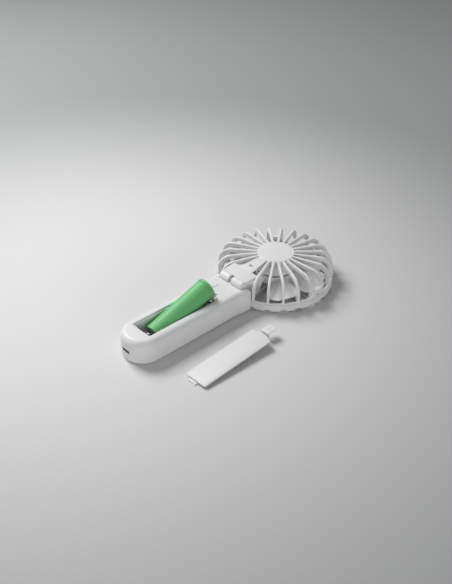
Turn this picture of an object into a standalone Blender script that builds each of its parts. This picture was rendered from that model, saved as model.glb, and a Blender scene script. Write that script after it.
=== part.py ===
import math

import bmesh
import bpy
from mathutils import Matrix, Vector

# Folding hand fan, lying on its front with the battery door off and the cell leaning out.
# Metres. The fan turns about the Z axis, the front faces down to z = 0, the back faces up,
# and the handle runs from the head towards -Y.

# Clearances
GAP = 0.0003                  # between pieces that touch
SLIDE_GAP = 0.0004            # between pieces that move on each other
OVERLAP = 0.0006              # how far joined shapes run into each other

# Battery cell
CELL_DIAMETER = 0.0185
CELL_LENGTH = 0.0650
CELL_SLEEVE = 0.00025
CELL_EDGE_RADIUS = 0.0008
CELL_GROOVE_FROM_END = 0.0030
CELL_GROOVE_DEPTH = 0.0006
CELL_GROOVE_WIDTH = 0.0014
CELL_LIP = 0.0022             # how far the sleeve folds over each end
CELL_CAP_DIAMETER = 0.0090
CELL_CAP_HEIGHT = 0.0011
CELL_WASHER_THICKNESS = 0.0005
CELL_SET_BACK = 0.0116        # of its low end from the compartment's end wall

# Handle
HANDLE_WIDTH = 0.0376
PANEL_THICKNESS = 0.0017
CELL_HEADROOM = 0.0011
DOOR_THICKNESS = 0.0014
WALL = 0.0018
BACK_EDGE_RADIUS = 0.0055
FRONT_EDGE_RADIUS = 0.0028
END_BACK_RADIUS = 0.0022
END_FRONT_RADIUS = 0.0020
HANDLE_CORNER_RADIUS = 0.0006
END_FLARE = 0.0014            # how much wider each side is at the hollow end
END_FLARE_LENGTH = 0.0180
PANEL_BORDER = 0.0046         # from the handle's outline in to the front panel
NECK_LENGTH = 0.0284          # from the hinge end to the battery opening
TIP_LENGTH = 0.01675          # from the battery opening to the tip
HEAD_CLEARANCE = 0.0006       # between the handle's end and the head

# Battery compartment
CELL_SIDE_CLEARANCE = 0.0007
CONTACT_ROOM = 0.0074         # what the spring and the contacts take of the length
WELL_WALL = 0.0012
LEDGE_SIDE = 0.0008
LEDGE_END = 0.0013

# Battery door and its latch
DOOR_CLEARANCE = 0.0001
DOOR_CORNER_RADIUS = 0.0024
TONGUE_WIDTH = 0.0090
TONGUE_REACH = 0.0026
TONGUE_ROOT = 0.0020
TONGUE_THICKNESS = 0.0012
TONGUE_OFFSET = -0.0022
LATCH_WIDTH = 0.0070
LATCH_OFFSET = -0.0005
LATCH_SIDE_CLEARANCE = 0.0010
LATCH_DEPTH = 0.0068          # from the door's outer face to the bottom of the spring bend
LATCH_STRIP = 0.0011
LATCH_BEND_LENGTH = 0.0050    # of the spring bend past the door's end
LATCH_FLOOR_CLEARANCE = 0.0010
LATCH_BARB = 0.0009
LATCH_BARB_DEPTH = 0.0025     # from the door's outer face to the barb
LATCH_BARB_HEIGHT = 0.0010
THUMB_TAB_LENGTH = 0.0084
THUMB_TAB_RISE = 0.0009
THUMB_TAB_ROOM = 0.0010       # under the tab
THUMB_TAB_CLEARANCE = 0.0005
THUMB_TAB_CORNER = 0.0012
TAB_DIMPLE_RADIUS = 0.0006
TAB_DIMPLE_DEPTH = 0.0004
DOOR_PLACE = (0.0594, -0.1506)    # middle of its tip end, on the surface beside the handle
DOOR_YAW = 0.9                # degrees

# Head
HEAD_RADIUS = 0.0540
GUARD_DISH = 0.0010           # rise of the front face from its middle to the ring
GUARD_WALL = 0.0016
BLADE_CLEARANCE = 0.0024
HUB_HEIGHT = 0.0100
RUNNING_GAP = 0.0010
MOTOR_PLATE_THICKNESS = 0.0022
MOTOR_LENGTH = 0.0100
MOTOR_RADIUS = 0.0122
DISC_THICKNESS = 0.0022
DISC_RADIUS = 0.01735
DISC_EDGE_RADIUS = 0.0006
POD_RADIUS = 0.0180
POD_WALL = 0.0018
RING_WALL = 0.0022
RING_HEIGHT = 0.0083
RING_EDGE_RADIUS = 0.0030
RIM_HEIGHT = 0.0015           # of the rear cage's rim, which sits on the front ring
RIM_EDGE = 0.0004

# Rear ribs
RIB_COUNT = 24
RIB_WIDTH_INNER = 0.0019
RIB_WIDTH_OUTER = 0.0027
RIB_DEPTH = 0.0042
RIB_CHAMFER = 0.0005
RIB_TAPER = 0.8               # of its width at its inner face
RIB_SHOULDER_RADIUS = 0.0140
RIB_DROP_INNER = 0.0006       # from the disc's face to the ribs' inner ends
RIB_DROP_OUTER = 0.0026       # from the disc's face to the shoulder
RIB_SET_BACK = 0.0002         # from the ring's outer face

# Front slots
BAR_WIDTH = 0.0023
GUARD_HUB_RADIUS = 0.0188
SLOT_REACH = 0.0003           # past the ring's outer face
SLOT_RISE = 0.0027
FRONT_CAP_RADIUS = 0.0160
FRONT_CAP_THICKNESS = 0.0010

# Catches that hold the two halves of the cage
CATCH_ANGLES = (90.0, 135.0, 225.0, 270.0)   # degrees from the handle
CATCH_HEIGHT = 0.0058
CATCH_THICKNESS = 0.0016
CATCH_SLOT_WIDTH = 0.0030
CATCH_SLOT_HEIGHT = 0.0012
CATCH_SLOT_UP = 0.0004         # from the rim's top
HOOK_WIDTH = 0.0070
HOOK_DEPTH = 0.0034
HOOK_THICKNESS = 0.0012
HOOK_REACH = 0.0008
HOOK_BARB_HEIGHT = 0.0010

# Hinge
BARREL_RADIUS = 0.0047
BARREL_HALF_LENGTH = 0.0140
BARREL_NOTCH = 0.0058
BARREL_EDGE_RADIUS = 0.0014
HINGE_RISE = 0.0005           # of the pin above the handle's back
HINGE_PLATE_THICKNESS = 0.0025
HINGE_PLATE_DROP = 0.0001     # of its face below the barrels' top
HINGE_PLATE_INNER_WIDTH = 0.0336
HINGE_PLATE_OUTER_WIDTH = 0.0288
HINGE_PLATE_LENGTH = 0.0125   # from the pin
HINGE_PLATE_STEP = 0.0026     # from the pin to where the plate widens past the barrels
HINGE_PLATE_NOTCH = 0.0016    # past the pin
STRAP_THICKNESS = 0.0016
STRAP_INNER_WIDTH = 0.0068
STRAP_OUTER_WIDTH = 0.0160
STRAP_WINDOW_WIDTH = 0.0058
STRAP_WINDOW_LENGTH = 0.0030
STRAP_WINDOW_AT = 0.0315      # from the fan's axis
LUG_RADIUS = 0.0026
LUG_SIDE_GAP = 0.0005
LUG_ROOT = 0.0050
PIN_RADIUS = 0.0011
PIN_END_WALL = 0.0020         # of barrel past the pin's blind end
PIN_RECESS = 0.0006

# Impeller
BLADE_COUNT = 7
BLADE_RADIUS = 0.0472
BLADE_THICKNESS = 0.0013
BLADE_ANGLE = 40.0            # degrees of the circle that one blade covers
BLADE_SWEEP = 9.0             # degrees from root to tip
BLADE_ROOT_HEIGHT = 0.0086
BLADE_TIP_HEIGHT = 0.0066
BLADE_CAMBER = 0.0012
BLADE_EDGE_THINNING = 0.35
BLADE_STATIONS = ((0.0, 1.0), (0.35, 1.0), (0.70, 1.0), (0.88, 0.93), (0.97, 0.76), (1.0, 0.56))
BLADE_CHORD_POINTS = 5
HUB_RADIUS = 0.0183
HUB_WALL = 0.0014
HUB_EDGE_RADIUS = 0.0015
HUB_BOSS_RADIUS = 0.0030
SHAFT_RADIUS = 0.0010
SHAFT_IN_MOTOR = 0.0080
BUSHING_RADIUS = 0.0030
BUSHING_LENGTH = 0.0026

# Motor and its fasteners
SCREW_RADIUS = 0.0008
SCREW_HEAD_RADIUS = 0.0016
SCREW_HEAD_HEIGHT = 0.0007
MOTOR_SCREW_LENGTH = 0.0034
MOTOR_SCREW_CIRCLE = 0.0075
PLATE_SCREW_LENGTH = 0.0060
PLATE_SCREW_CIRCLE = 0.0147
PLATE_SCREW_COUNT = 3
PLATE_POST_RADIUS = 0.0019
COUNTERBORE = 0.0011
MOTOR_CAP_RADIUS = 0.0085
MOTOR_CAP_HEIGHT = 0.0012
MOTOR_EDGE_RADIUS = 0.0008

# Contacts
SPRING_WIRE = 0.0007
SPRING_TURNS = 4
SPRING_BASE_RADIUS = 0.0050
SPRING_TOP_RADIUS = 0.0030
SPRING_LENGTH = 0.0072
SPRING_POINTS_PER_TURN = 10
CONTACT_THICKNESS = 0.0005
CONTACT_WIDTH = 0.0130
CONTACT_HEIGHT = 0.0130
CONTACT_DIMPLE_RADIUS = 0.0024
CONTACT_DIMPLE_TOP_RADIUS = 0.0015
CONTACT_DIMPLE_HEIGHT = 0.0009

# Boards and charging port
BOARD_THICKNESS = 0.0012
BOARD_EDGE_CLEARANCE = 0.0011
PORT_WIDTH = 0.0089
PORT_HEIGHT = 0.0032
PORT_DEPTH = 0.0073
PORT_SHELL = 0.0003
PORT_UP = 0.0103              # from the front face to the port's middle
PORT_RECESS = 0.0006
PORT_TONGUE_WIDTH = 0.0066
PORT_TONGUE_THICKNESS = 0.0007
PORT_TONGUE_SET_BACK = 0.0008
PORT_BASE_DEPTH = 0.0018
CONTROL_BOARD_WIDTH = 0.0270
CONTROL_BOARD_LENGTH = 0.0190
CONTROL_BOARD_SET_BACK = 0.0052   # from the end wall's inner face
POST_RADIUS = 0.0022
POST_FROM_EDGE = 0.0026
BOARD_SCREW_LENGTH = 0.0060

# Switch, button and lamp
SWITCH_SIZE = 0.0060
SWITCH_HEIGHT = 0.0019
SWITCH_PLUNGER_RADIUS = 0.0017
SWITCH_PLUNGER_HEIGHT = 0.0007
BUTTON_RADIUS = 0.0052
BUTTON_RECESS = 0.0004
BUTTON_DISH = 0.0003
BUTTON_FLANGE = 0.0012
BUTTON_FLANGE_THICKNESS = 0.0006
BUTTON_TRAVEL = 0.0006
BUTTON_FROM_BOARD_END = 0.0062
LAMP_WIDTH = 0.0070
LAMP_LENGTH = 0.0020
LAMP_LIP = 0.0008
LAMP_FROM_BUTTON = 0.0095

# Hooks of the front panel
PANEL_HOOK_PLACES = (0.010, 0.038, 0.066, 0.092)   # from the battery opening's tip end
PANEL_HOOK_WIDTH = 0.0060
PANEL_HOOK_THICKNESS = 0.0012
PANEL_HOOK_REACH = 0.0007
PANEL_HOOK_HEAD = 0.0010

# Facets
RING_STEPS = 60
HUB_STEPS = 40
ROUND_STEPS = 28
SMALL_STEPS = 14
SCREW_STEPS = 8

# Heights that follow from the sizes
GUARD_TOP = GUARD_DISH + GUARD_WALL
HUB_BOTTOM = GUARD_TOP + BLADE_CLEARANCE
HUB_TOP = HUB_BOTTOM + HUB_HEIGHT
MOTOR_PLATE_BOTTOM = HUB_TOP + RUNNING_GAP
MOTOR_PLATE_TOP = MOTOR_PLATE_BOTTOM + MOTOR_PLATE_THICKNESS
POD_BOTTOM = MOTOR_PLATE_TOP + GAP
MOTOR_BOTTOM = MOTOR_PLATE_TOP + GAP
MOTOR_TOP = MOTOR_BOTTOM + MOTOR_LENGTH
DISC_BOTTOM = MOTOR_TOP + GAP
DISC_TOP = DISC_BOTTOM + DISC_THICKNESS
RING_INSIDE = HEAD_RADIUS - RING_WALL
RIM_BOTTOM = RING_HEIGHT + GAP
RIM_TOP = RIM_BOTTOM + RIM_HEIGHT

WELL_FLOOR = PANEL_THICKNESS + GAP
SEATED_CELL_UP = WELL_FLOOR + CELL_DIAMETER / 2
HANDLE_THICKNESS = WELL_FLOOR + CELL_DIAMETER + CELL_HEADROOM + DOOR_THICKNESS
LEDGE_UP = HANDLE_THICKNESS - DOOR_THICKNESS
BACK_INSIDE = HANDLE_THICKNESS - WALL

# Places along the handle that follow from the sizes
WELL_WIDTH = CELL_DIAMETER + 2 * CELL_SIDE_CLEARANCE
WELL_LENGTH = CELL_LENGTH + CONTACT_ROOM
OPENING_WIDTH = WELL_WIDTH + 2 * LEDGE_SIDE
OPENING_LENGTH = WELL_LENGTH + 2 * LEDGE_END
HANDLE_END_RADIUS = HEAD_RADIUS + HEAD_CLEARANCE
OPENING_HEAD_Y = -HANDLE_END_RADIUS - NECK_LENGTH
OPENING_TIP_Y = OPENING_HEAD_Y - OPENING_LENGTH
WELL_HEAD_Y = OPENING_HEAD_Y - LEDGE_END
WELL_TIP_Y = OPENING_TIP_Y + LEDGE_END
HANDLE_TIP_Y = OPENING_TIP_Y - TIP_LENGTH
HALF_WIDTH = HANDLE_WIDTH / 2
TIP_CENTRE_Y = HANDLE_TIP_Y + HALF_WIDTH
END_WALL_INSIDE_Y = -HANDLE_END_RADIUS - WALL
HINGE_Y = -HEAD_RADIUS
HINGE_UP = HANDLE_THICKNESS + HINGE_RISE

# The door's seat and the latch's pocket
DOOR_WIDTH = OPENING_WIDTH - 2 * DOOR_CLEARANCE
DOOR_LENGTH = OPENING_LENGTH - 2 * DOOR_CLEARANCE
LATCH_NOTCH_WIDTH = LATCH_WIDTH + 2 * LATCH_SIDE_CLEARANCE
LATCH_TAB_REACH = LATCH_BEND_LENGTH - LATCH_STRIP + THUMB_TAB_LENGTH
LATCH_NOTCH_END_Y = OPENING_HEAD_Y + LATCH_TAB_REACH + THUMB_TAB_CLEARANCE
LATCH_POCKET_END_Y = OPENING_HEAD_Y + LATCH_BEND_LENGTH + SLIDE_GAP
LATCH_POCKET_FLOOR = HANDLE_THICKNESS - LATCH_DEPTH - LATCH_FLOOR_CLEARANCE
TAB_SHELF = HANDLE_THICKNESS + THUMB_TAB_RISE - LATCH_STRIP - THUMB_TAB_ROOM

# Boards and button
SWITCH_BOTTOM = WELL_FLOOR + BUTTON_FLANGE_THICKNESS + BUTTON_TRAVEL + GAP + SWITCH_PLUNGER_HEIGHT
CONTROL_BOARD_BOTTOM = SWITCH_BOTTOM + SWITCH_HEIGHT + GAP
CONTROL_BOARD_TOP = CONTROL_BOARD_BOTTOM + BOARD_THICKNESS
CONTROL_BOARD_HEAD_Y = END_WALL_INSIDE_Y - CONTROL_BOARD_SET_BACK
CONTROL_BOARD_TIP_Y = CONTROL_BOARD_HEAD_Y - CONTROL_BOARD_LENGTH
BUTTON_Y = CONTROL_BOARD_TIP_Y + BUTTON_FROM_BOARD_END
LAMP_Y = BUTTON_Y + LAMP_FROM_BUTTON
CHARGE_BOARD_TOP = PORT_UP - PORT_HEIGHT / 2 - GAP
CHARGE_BOARD_BOTTOM = CHARGE_BOARD_TOP - BOARD_THICKNESS
CHARGE_BOARD_RADIUS = HALF_WIDTH - WALL - BOARD_EDGE_CLEARANCE
CHARGE_BOARD_HEAD_Y = WELL_TIP_Y - WELL_WALL - BOARD_EDGE_CLEARANCE
PORT_MOUTH_Y = HANDLE_TIP_Y + PORT_RECESS

WHITE = (0.83, 0.83, 0.83)
FINISHES = {
    "white_shell": (WHITE, 0.42, 0.0),
    "white_panel": (WHITE, 0.45, 0.0),
    "white_door": (WHITE, 0.42, 0.0),
    "white_cage": (WHITE, 0.42, 0.0),
    "white_guard": (WHITE, 0.42, 0.0),
    "white_cap": (WHITE, 0.35, 0.0),
    "white_button": (WHITE, 0.35, 0.0),
    "pale_blades": ((0.70, 0.70, 0.71), 0.38, 0.0),
    "grey_plate": ((0.62, 0.62, 0.63), 0.50, 0.0),
    "black_plastic": ((0.02, 0.02, 0.022), 0.50, 0.0),
    "frosted_lens": ((0.80, 0.82, 0.84), 0.30, 0.0),
    "green_sleeve": ((0.03, 0.42, 0.10), 0.32, 0.0),
    "white_washer": ((0.75, 0.75, 0.72), 0.60, 0.0),
    "plated_steel": ((0.62, 0.61, 0.58), 0.28, 1.0),
    "spring_steel": ((0.55, 0.55, 0.55), 0.30, 1.0),
    "motor_steel": ((0.50, 0.50, 0.52), 0.35, 1.0),
    "bronze": ((0.55, 0.38, 0.18), 0.40, 1.0),
    "board": ((0.03, 0.16, 0.09), 0.50, 0.0),
}


def finish(name):
    if name in bpy.data.materials:
        return bpy.data.materials[name]
    colour, roughness, metallic = FINISHES[name]
    material = bpy.data.materials.new(name)
    material.use_nodes = True
    shader = material.node_tree.nodes["Principled BSDF"]
    shader.inputs["Base Color"].default_value = (*colour, 1.0)
    shader.inputs["Roughness"].default_value = roughness
    shader.inputs["Metallic"].default_value = metallic
    return material


def add_object(name, data, finish_name=None):
    obj = bpy.data.objects.new(name, data)
    bpy.context.scene.collection.objects.link(obj)
    if finish_name:
        data.materials.append(finish(finish_name))
    return obj


def shade_round(mesh):
    mesh.shade_smooth()
    mesh.set_sharp_from_angle(angle=math.radians(35))


# Outlines


def arc(centre, radius, start, end, steps):
    """Points of an arc between two angles in degrees."""
    angles = [math.radians(start + (end - start) * i / steps) for i in range(steps + 1)]
    return [(centre[0] + radius * math.cos(a), centre[1] + radius * math.sin(a)) for a in angles]


def rounded_rectangle(left, low, right, high, radius, steps=3):
    return (arc((right - radius, low + radius), radius, -90, 0, steps)
            + arc((right - radius, high - radius), radius, 0, 90, steps)
            + arc((left + radius, high - radius), radius, 90, 180, steps)
            + arc((left + radius, low + radius), radius, 180, 270, steps))


def port_outline(margin):
    """The charging port seen from its mouth, round at both sides."""
    radius = PORT_HEIGHT / 2 + margin
    side = PORT_WIDTH / 2 - PORT_HEIGHT / 2
    return arc((side, PORT_UP), radius, -90, 90, 6) + arc((-side, PORT_UP), radius, 90, 270, 6)


def lamp_outline(margin):
    half_width, half_length = LAMP_WIDTH / 2 + margin, LAMP_LENGTH / 2 + margin
    return rounded_rectangle(-half_width, LAMP_Y - half_length, half_width, LAMP_Y + half_length,
                             half_length * 0.9)


def handle_outline(side_inset, end_inset):
    """The handle from above: a round tip, and a hollow end that follows the head."""
    half = HALF_WIDTH - side_inset
    hollow = HANDLE_END_RADIUS + end_inset
    corner = HANDLE_CORNER_RADIUS
    corner_x = half + END_FLARE - corner
    corner_y = -math.sqrt((hollow + corner) ** 2 - corner_x ** 2)
    outward = math.degrees(math.atan2(corner_y, corner_x))
    shares = [i / 5 for i in range(5)]
    flare = [(half + END_FLARE * share ** 2 * (3 - 2 * share), corner_y - END_FLARE_LENGTH * (1 - share))
             for share in shares]
    right_side = arc((0, TIP_CENTRE_Y), half, -90, 0, 10) + flare
    right_side += arc((corner_x, corner_y), corner, 0, outward + 180, 3)
    hollow_end = arc((0, 0), hollow, outward, -180 - outward, 12)[1:-1]
    left_side = [(-x, y) for x, y in reversed(right_side)]
    return right_side + hollow_end + left_side[:-1]


def edge_inset(height, bottom, top, bottom_radius, top_radius):
    """How far a rounded edge has drawn in at this height."""
    below = bottom + bottom_radius - height
    above = height - top + top_radius
    if below > 0:
        return bottom_radius - math.sqrt(max(bottom_radius ** 2 - below ** 2, 0))
    if above > 0:
        return top_radius - math.sqrt(max(top_radius ** 2 - above ** 2, 0))
    return 0


def handle_rings(inset, bottom, top, side_radii, end_radii, steps):
    """Rings of the handle's outline from bottom to top, with both its edges rounded."""
    turns = [math.sin(math.radians(90 * i / steps)) for i in range(steps + 1)]
    heights = [bottom + side_radii[0] * (1 - turn) for turn in reversed(turns)]
    heights += [top - side_radii[1] * (1 - turn) for turn in turns]
    rings = []
    for height in heights:
        side = inset + edge_inset(height, bottom, top, *side_radii)
        end = inset + edge_inset(height, bottom, top, *end_radii)
        rings.append([(x, y, height) for x, y in handle_outline(side, end)])
    return rings


# Solids


def finish_mesh(bm, name):
    bm.normal_update()
    bmesh.ops.recalc_face_normals(bm, faces=bm.faces)
    mesh = bpy.data.meshes.new(name)
    bm.to_mesh(mesh)
    bm.free()
    shade_round(mesh)
    return mesh


def turned(name, profile, finish_name=None, steps=ROUND_STEPS):
    """A closed profile of (radius, height) points, spun round Z."""
    bm = bmesh.new()
    points = [bm.verts.new((radius, 0, height)) for radius, height in profile]
    edges = [bm.edges.new(pair) for pair in zip(points, points[1:] + points[:1])]
    bmesh.ops.spin(bm, geom=points + edges, axis=(0, 0, 1), cent=(0, 0, 0),
                   steps=steps, angle=2 * math.pi, use_merge=True)
    bmesh.ops.remove_doubles(bm, verts=bm.verts, dist=1e-6)
    bmesh.ops.dissolve_degenerate(bm, edges=bm.edges, dist=1e-7)
    return add_object(name, finish_mesh(bm, name), finish_name)


def lofted(name, rings, finish_name=None):
    """Rings of equally many points, joined by side faces and closed at both ends."""
    bm = bmesh.new()
    loops = [[bm.verts.new(point) for point in ring] for ring in rings]
    for lower, upper in zip(loops, loops[1:]):
        for i in range(len(lower)):
            j = (i + 1) % len(lower)
            bm.faces.new((lower[i], lower[j], upper[j], upper[i]))
    bm.faces.new(reversed(loops[0]))
    bm.faces.new(loops[-1])
    return add_object(name, finish_mesh(bm, name), finish_name)


def prism(name, outline, start, end, finish_name=None, along="Z"):
    """An outline drawn out along an axis: (x, y) points along Z, (x, z) along Y or (y, z) along X."""
    places = {"X": lambda a, b, c: (c, a, b), "Y": lambda a, b, c: (a, c, b), "Z": lambda a, b, c: (a, b, c)}
    place = places[along]
    return lofted(name, [[place(a, b, c) for a, b in outline] for c in (start, end)], finish_name)


def box(name, low, high, finish_name=None):
    outline = [(low[0], low[1]), (high[0], low[1]), (high[0], high[1]), (low[0], high[1])]
    return prism(name, outline, low[2], high[2], finish_name)


def rod(name, radius, start, end, finish_name=None, steps=SMALL_STEPS):
    """A round bar between two points."""
    start, end = Vector(start), Vector(end)
    bm = bmesh.new()
    bmesh.ops.create_cone(bm, cap_ends=True, segments=steps, radius1=radius, radius2=radius,
                          depth=(end - start).length)
    turn = (end - start).to_track_quat("Z", "Y").to_matrix().to_4x4()
    bm.transform(Matrix.Translation((start + end) / 2) @ turn)
    return add_object(name, finish_mesh(bm, name), finish_name)


def hinge_rod(name, radius, start_x, end_x, finish_name=None, steps=SMALL_STEPS):
    """A round bar on the hinge's axis."""
    return rod(name, radius, (start_x, HINGE_Y, HINGE_UP), (end_x, HINGE_Y, HINGE_UP), finish_name, steps)


def combine(obj, operation, *others):
    """Joins others to obj, cuts them from it, or keeps what they share."""
    for other in others:
        other.hide_render = True
        other.display_type = "WIRE"
        other.parent = obj
        modifier = obj.modifiers.new(other.name, "BOOLEAN")
        modifier.operation = operation
        modifier.solver = "EXACT"
        modifier.object = other
    return obj


def merged(name, parts):
    """Shapes that lie apart, as one helper."""
    bm = bmesh.new()
    for part in parts:
        bm.from_mesh(part.data)
        bpy.data.meshes.remove(part.data)
    return add_object(name, finish_mesh(bm, name))


def repeat_round(name, part, angles):
    """Copies of a shape turned round Z to each angle in degrees, as one helper."""
    bm = bmesh.new()
    for angle in angles:
        copy = part.data.copy()
        copy.transform(Matrix.Rotation(math.radians(angle), 4, "Z"))
        bm.from_mesh(copy)
        bpy.data.meshes.remove(copy)
    bpy.data.meshes.remove(part.data)
    return add_object(name, finish_mesh(bm, name))


def even_angles(count, first):
    return [first + 360 * i / count for i in range(count)]


def screw(name, length, place):
    """A screw that points up, with the underside of its head at its origin."""
    profile = [(0, -SCREW_HEAD_HEIGHT), (SCREW_HEAD_RADIUS, -SCREW_HEAD_HEIGHT), (SCREW_HEAD_RADIUS, 0),
               (SCREW_RADIUS, 0), (SCREW_RADIUS, length), (0, length)]
    obj = turned(name, profile, "plated_steel", steps=SCREW_STEPS)
    obj.location = place
    return obj


# Handle


def board_screw_places():
    """Where the boards' screws go, as (x, y, underside of the board)."""
    charge_x = CHARGE_BOARD_RADIUS - BOARD_EDGE_CLEARANCE - POST_RADIUS - POST_FROM_EDGE / 2
    charge_y = CHARGE_BOARD_HEAD_Y - POST_FROM_EDGE
    control_x = CONTROL_BOARD_WIDTH / 2 - POST_FROM_EDGE
    return [(-charge_x, charge_y, CHARGE_BOARD_BOTTOM), (charge_x, charge_y, CHARGE_BOARD_BOTTOM),
            (-control_x, CONTROL_BOARD_HEAD_Y - POST_FROM_EDGE, CONTROL_BOARD_BOTTOM),
            (control_x, CONTROL_BOARD_TIP_Y + POST_FROM_EDGE, CONTROL_BOARD_BOTTOM)]


def inside_radius(outside_radius):
    return max(outside_radius - WALL, GAP)


def make_handle_inside():
    """The hollow of the handle, less the walls, posts and pocket that stand in it."""
    lip = [[(x, y, up) for x, y in handle_outline(PANEL_BORDER, PANEL_BORDER)] for up in (-OVERLAP, WELL_FLOOR)]
    side_radii = (inside_radius(FRONT_EDGE_RADIUS), inside_radius(BACK_EDGE_RADIUS))
    end_radii = (inside_radius(END_FRONT_RADIUS), inside_radius(END_BACK_RADIUS))
    inside = lofted("cut_inside", lip + handle_rings(WALL, WELL_FLOOR, BACK_INSIDE, side_radii, end_radii, 3))
    ceiling = BACK_INSIDE + OVERLAP
    half_well = WELL_WIDTH / 2 + WELL_WALL
    well_walls = box("keep_well_walls", (-half_well, WELL_TIP_Y - WELL_WALL, WELL_FLOOR),
                     (half_well, WELL_HEAD_Y + WELL_WALL, ceiling))
    half_pocket = LATCH_NOTCH_WIDTH / 2 + WELL_WALL
    left, right = LATCH_OFFSET - half_pocket, LATCH_OFFSET + half_pocket
    pocket_walls = box("keep_latch_pocket", (left, WELL_HEAD_Y, LATCH_POCKET_FLOOR - WELL_WALL),
                       (right, LATCH_POCKET_END_Y + LATCH_BARB + WELL_WALL, ceiling))
    shelf = box("keep_tab_shelf", (left + GAP, LATCH_POCKET_END_Y, TAB_SHELF - WELL_WALL),
                (right - GAP, LATCH_NOTCH_END_Y + WELL_WALL, ceiling + GAP))
    posts = [rod(f"post_{i}", POST_RADIUS, (x, y, bottom + BOARD_THICKNESS + GAP), (x, y, ceiling))
             for i, (x, y, bottom) in enumerate(board_screw_places())]
    seat_half = BARREL_HALF_LENGTH + SLIDE_GAP + WALL
    seat_wall = hinge_rod("keep_seat_wall", BARREL_RADIUS + SLIDE_GAP + WALL, -seat_half, seat_half,
                          steps=ROUND_STEPS)
    return combine(inside, "DIFFERENCE", well_walls, pocket_walls, shelf, merged("keep_posts", posts), seat_wall)


def make_latch_notch():
    """The pocket for the latch's spring bend, the catch for its barb and the shelf under its tab."""
    left, right = LATCH_OFFSET - LATCH_NOTCH_WIDTH / 2, LATCH_OFFSET + LATCH_NOTCH_WIDTH / 2
    above = HANDLE_THICKNESS + OVERLAP
    catch_top = HANDLE_THICKNESS - LATCH_BARB_DEPTH + GAP
    catch_low = catch_top - LATCH_BARB_HEIGHT - 2 * GAP
    outline = [(WELL_HEAD_Y - OVERLAP, LATCH_POCKET_FLOOR), (LATCH_POCKET_END_Y, LATCH_POCKET_FLOOR),
               (LATCH_POCKET_END_Y, catch_low), (LATCH_POCKET_END_Y + LATCH_BARB, catch_low),
               (LATCH_POCKET_END_Y + LATCH_BARB, catch_top), (LATCH_POCKET_END_Y, catch_top),
               (LATCH_POCKET_END_Y, TAB_SHELF), (LATCH_NOTCH_END_Y, TAB_SHELF), (LATCH_NOTCH_END_Y, above),
               (WELL_HEAD_Y - OVERLAP, above)]
    return prism("cut_latch_notch", outline, left, right, along="X")


def make_lug():
    """The handle's lug between the two barrels, with its root in the seat's wall."""
    half = BARREL_NOTCH / 2 - LUG_SIDE_GAP
    knuckle = arc((HINGE_Y, HINGE_UP), LUG_RADIUS, -70, 188, 14)
    root_y = HINGE_Y - BARREL_RADIUS - SLIDE_GAP - OVERLAP
    root = [(root_y, HANDLE_THICKNESS - END_BACK_RADIUS / 4), (root_y, HANDLE_THICKNESS - LUG_ROOT),
            (END_WALL_INSIDE_Y + OVERLAP, HANDLE_THICKNESS - LUG_ROOT - OVERLAP)]
    return prism("join_lug", knuckle + root, -half, half, along="X")


def make_handle_body():
    """Back and sides in one shell, with the battery compartment, the board posts and the hinge lug."""
    side_radii = (FRONT_EDGE_RADIUS, BACK_EDGE_RADIUS)
    end_radii = (END_FRONT_RADIUS, END_BACK_RADIUS)
    body = lofted("handle_body", handle_rings(0, 0, HANDLE_THICKNESS, side_radii, end_radii, 4), "white_shell")
    combine(body, "DIFFERENCE", make_handle_inside())

    above = HANDLE_THICKNESS + OVERLAP
    well = box("cut_well", (-WELL_WIDTH / 2, WELL_TIP_Y, 0), (WELL_WIDTH / 2, WELL_HEAD_Y, above))
    rebate_outline = rounded_rectangle(-OPENING_WIDTH / 2, OPENING_TIP_Y, OPENING_WIDTH / 2, OPENING_HEAD_Y,
                                       DOOR_CORNER_RADIUS)
    rebate = prism("cut_rebate", rebate_outline, LEDGE_UP, above)
    half_tongue = TONGUE_WIDTH / 2 + GAP
    tongue_slot = box("cut_tongue_slot",
                      (TONGUE_OFFSET - half_tongue, OPENING_TIP_Y - TONGUE_REACH - SLIDE_GAP,
                       LEDGE_UP - TONGUE_THICKNESS - 2 * GAP),
                      (TONGUE_OFFSET + half_tongue, WELL_TIP_Y + OVERLAP, LEDGE_UP + GAP / 2))
    port = prism("cut_port", port_outline(GAP), HANDLE_TIP_Y - OVERLAP, PORT_MOUTH_Y + PORT_DEPTH / 2, along="Y")
    holes = [rod(f"post_hole_{i}", SCREW_RADIUS + GAP, (x, y, bottom), (x, y, bottom + BOARD_SCREW_LENGTH),
                 steps=SCREW_STEPS)
             for i, (x, y, bottom) in enumerate(board_screw_places())]
    post_holes = merged("cut_post_holes", holes)
    combine(body, "DIFFERENCE", well, rebate, make_latch_notch(), tongue_slot, port, post_holes)

    seat_half = BARREL_HALF_LENGTH + SLIDE_GAP
    seat = hinge_rod("cut_barrel_seat", BARREL_RADIUS + SLIDE_GAP, -seat_half, seat_half, steps=ROUND_STEPS)
    combine(body, "DIFFERENCE", seat)
    combine(body, "UNION", make_lug())
    bore = hinge_rod("cut_lug_bore", PIN_RADIUS + GAP, -HALF_WIDTH - OVERLAP, BARREL_NOTCH / 2)
    return combine(body, "DIFFERENCE", bore)


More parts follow.
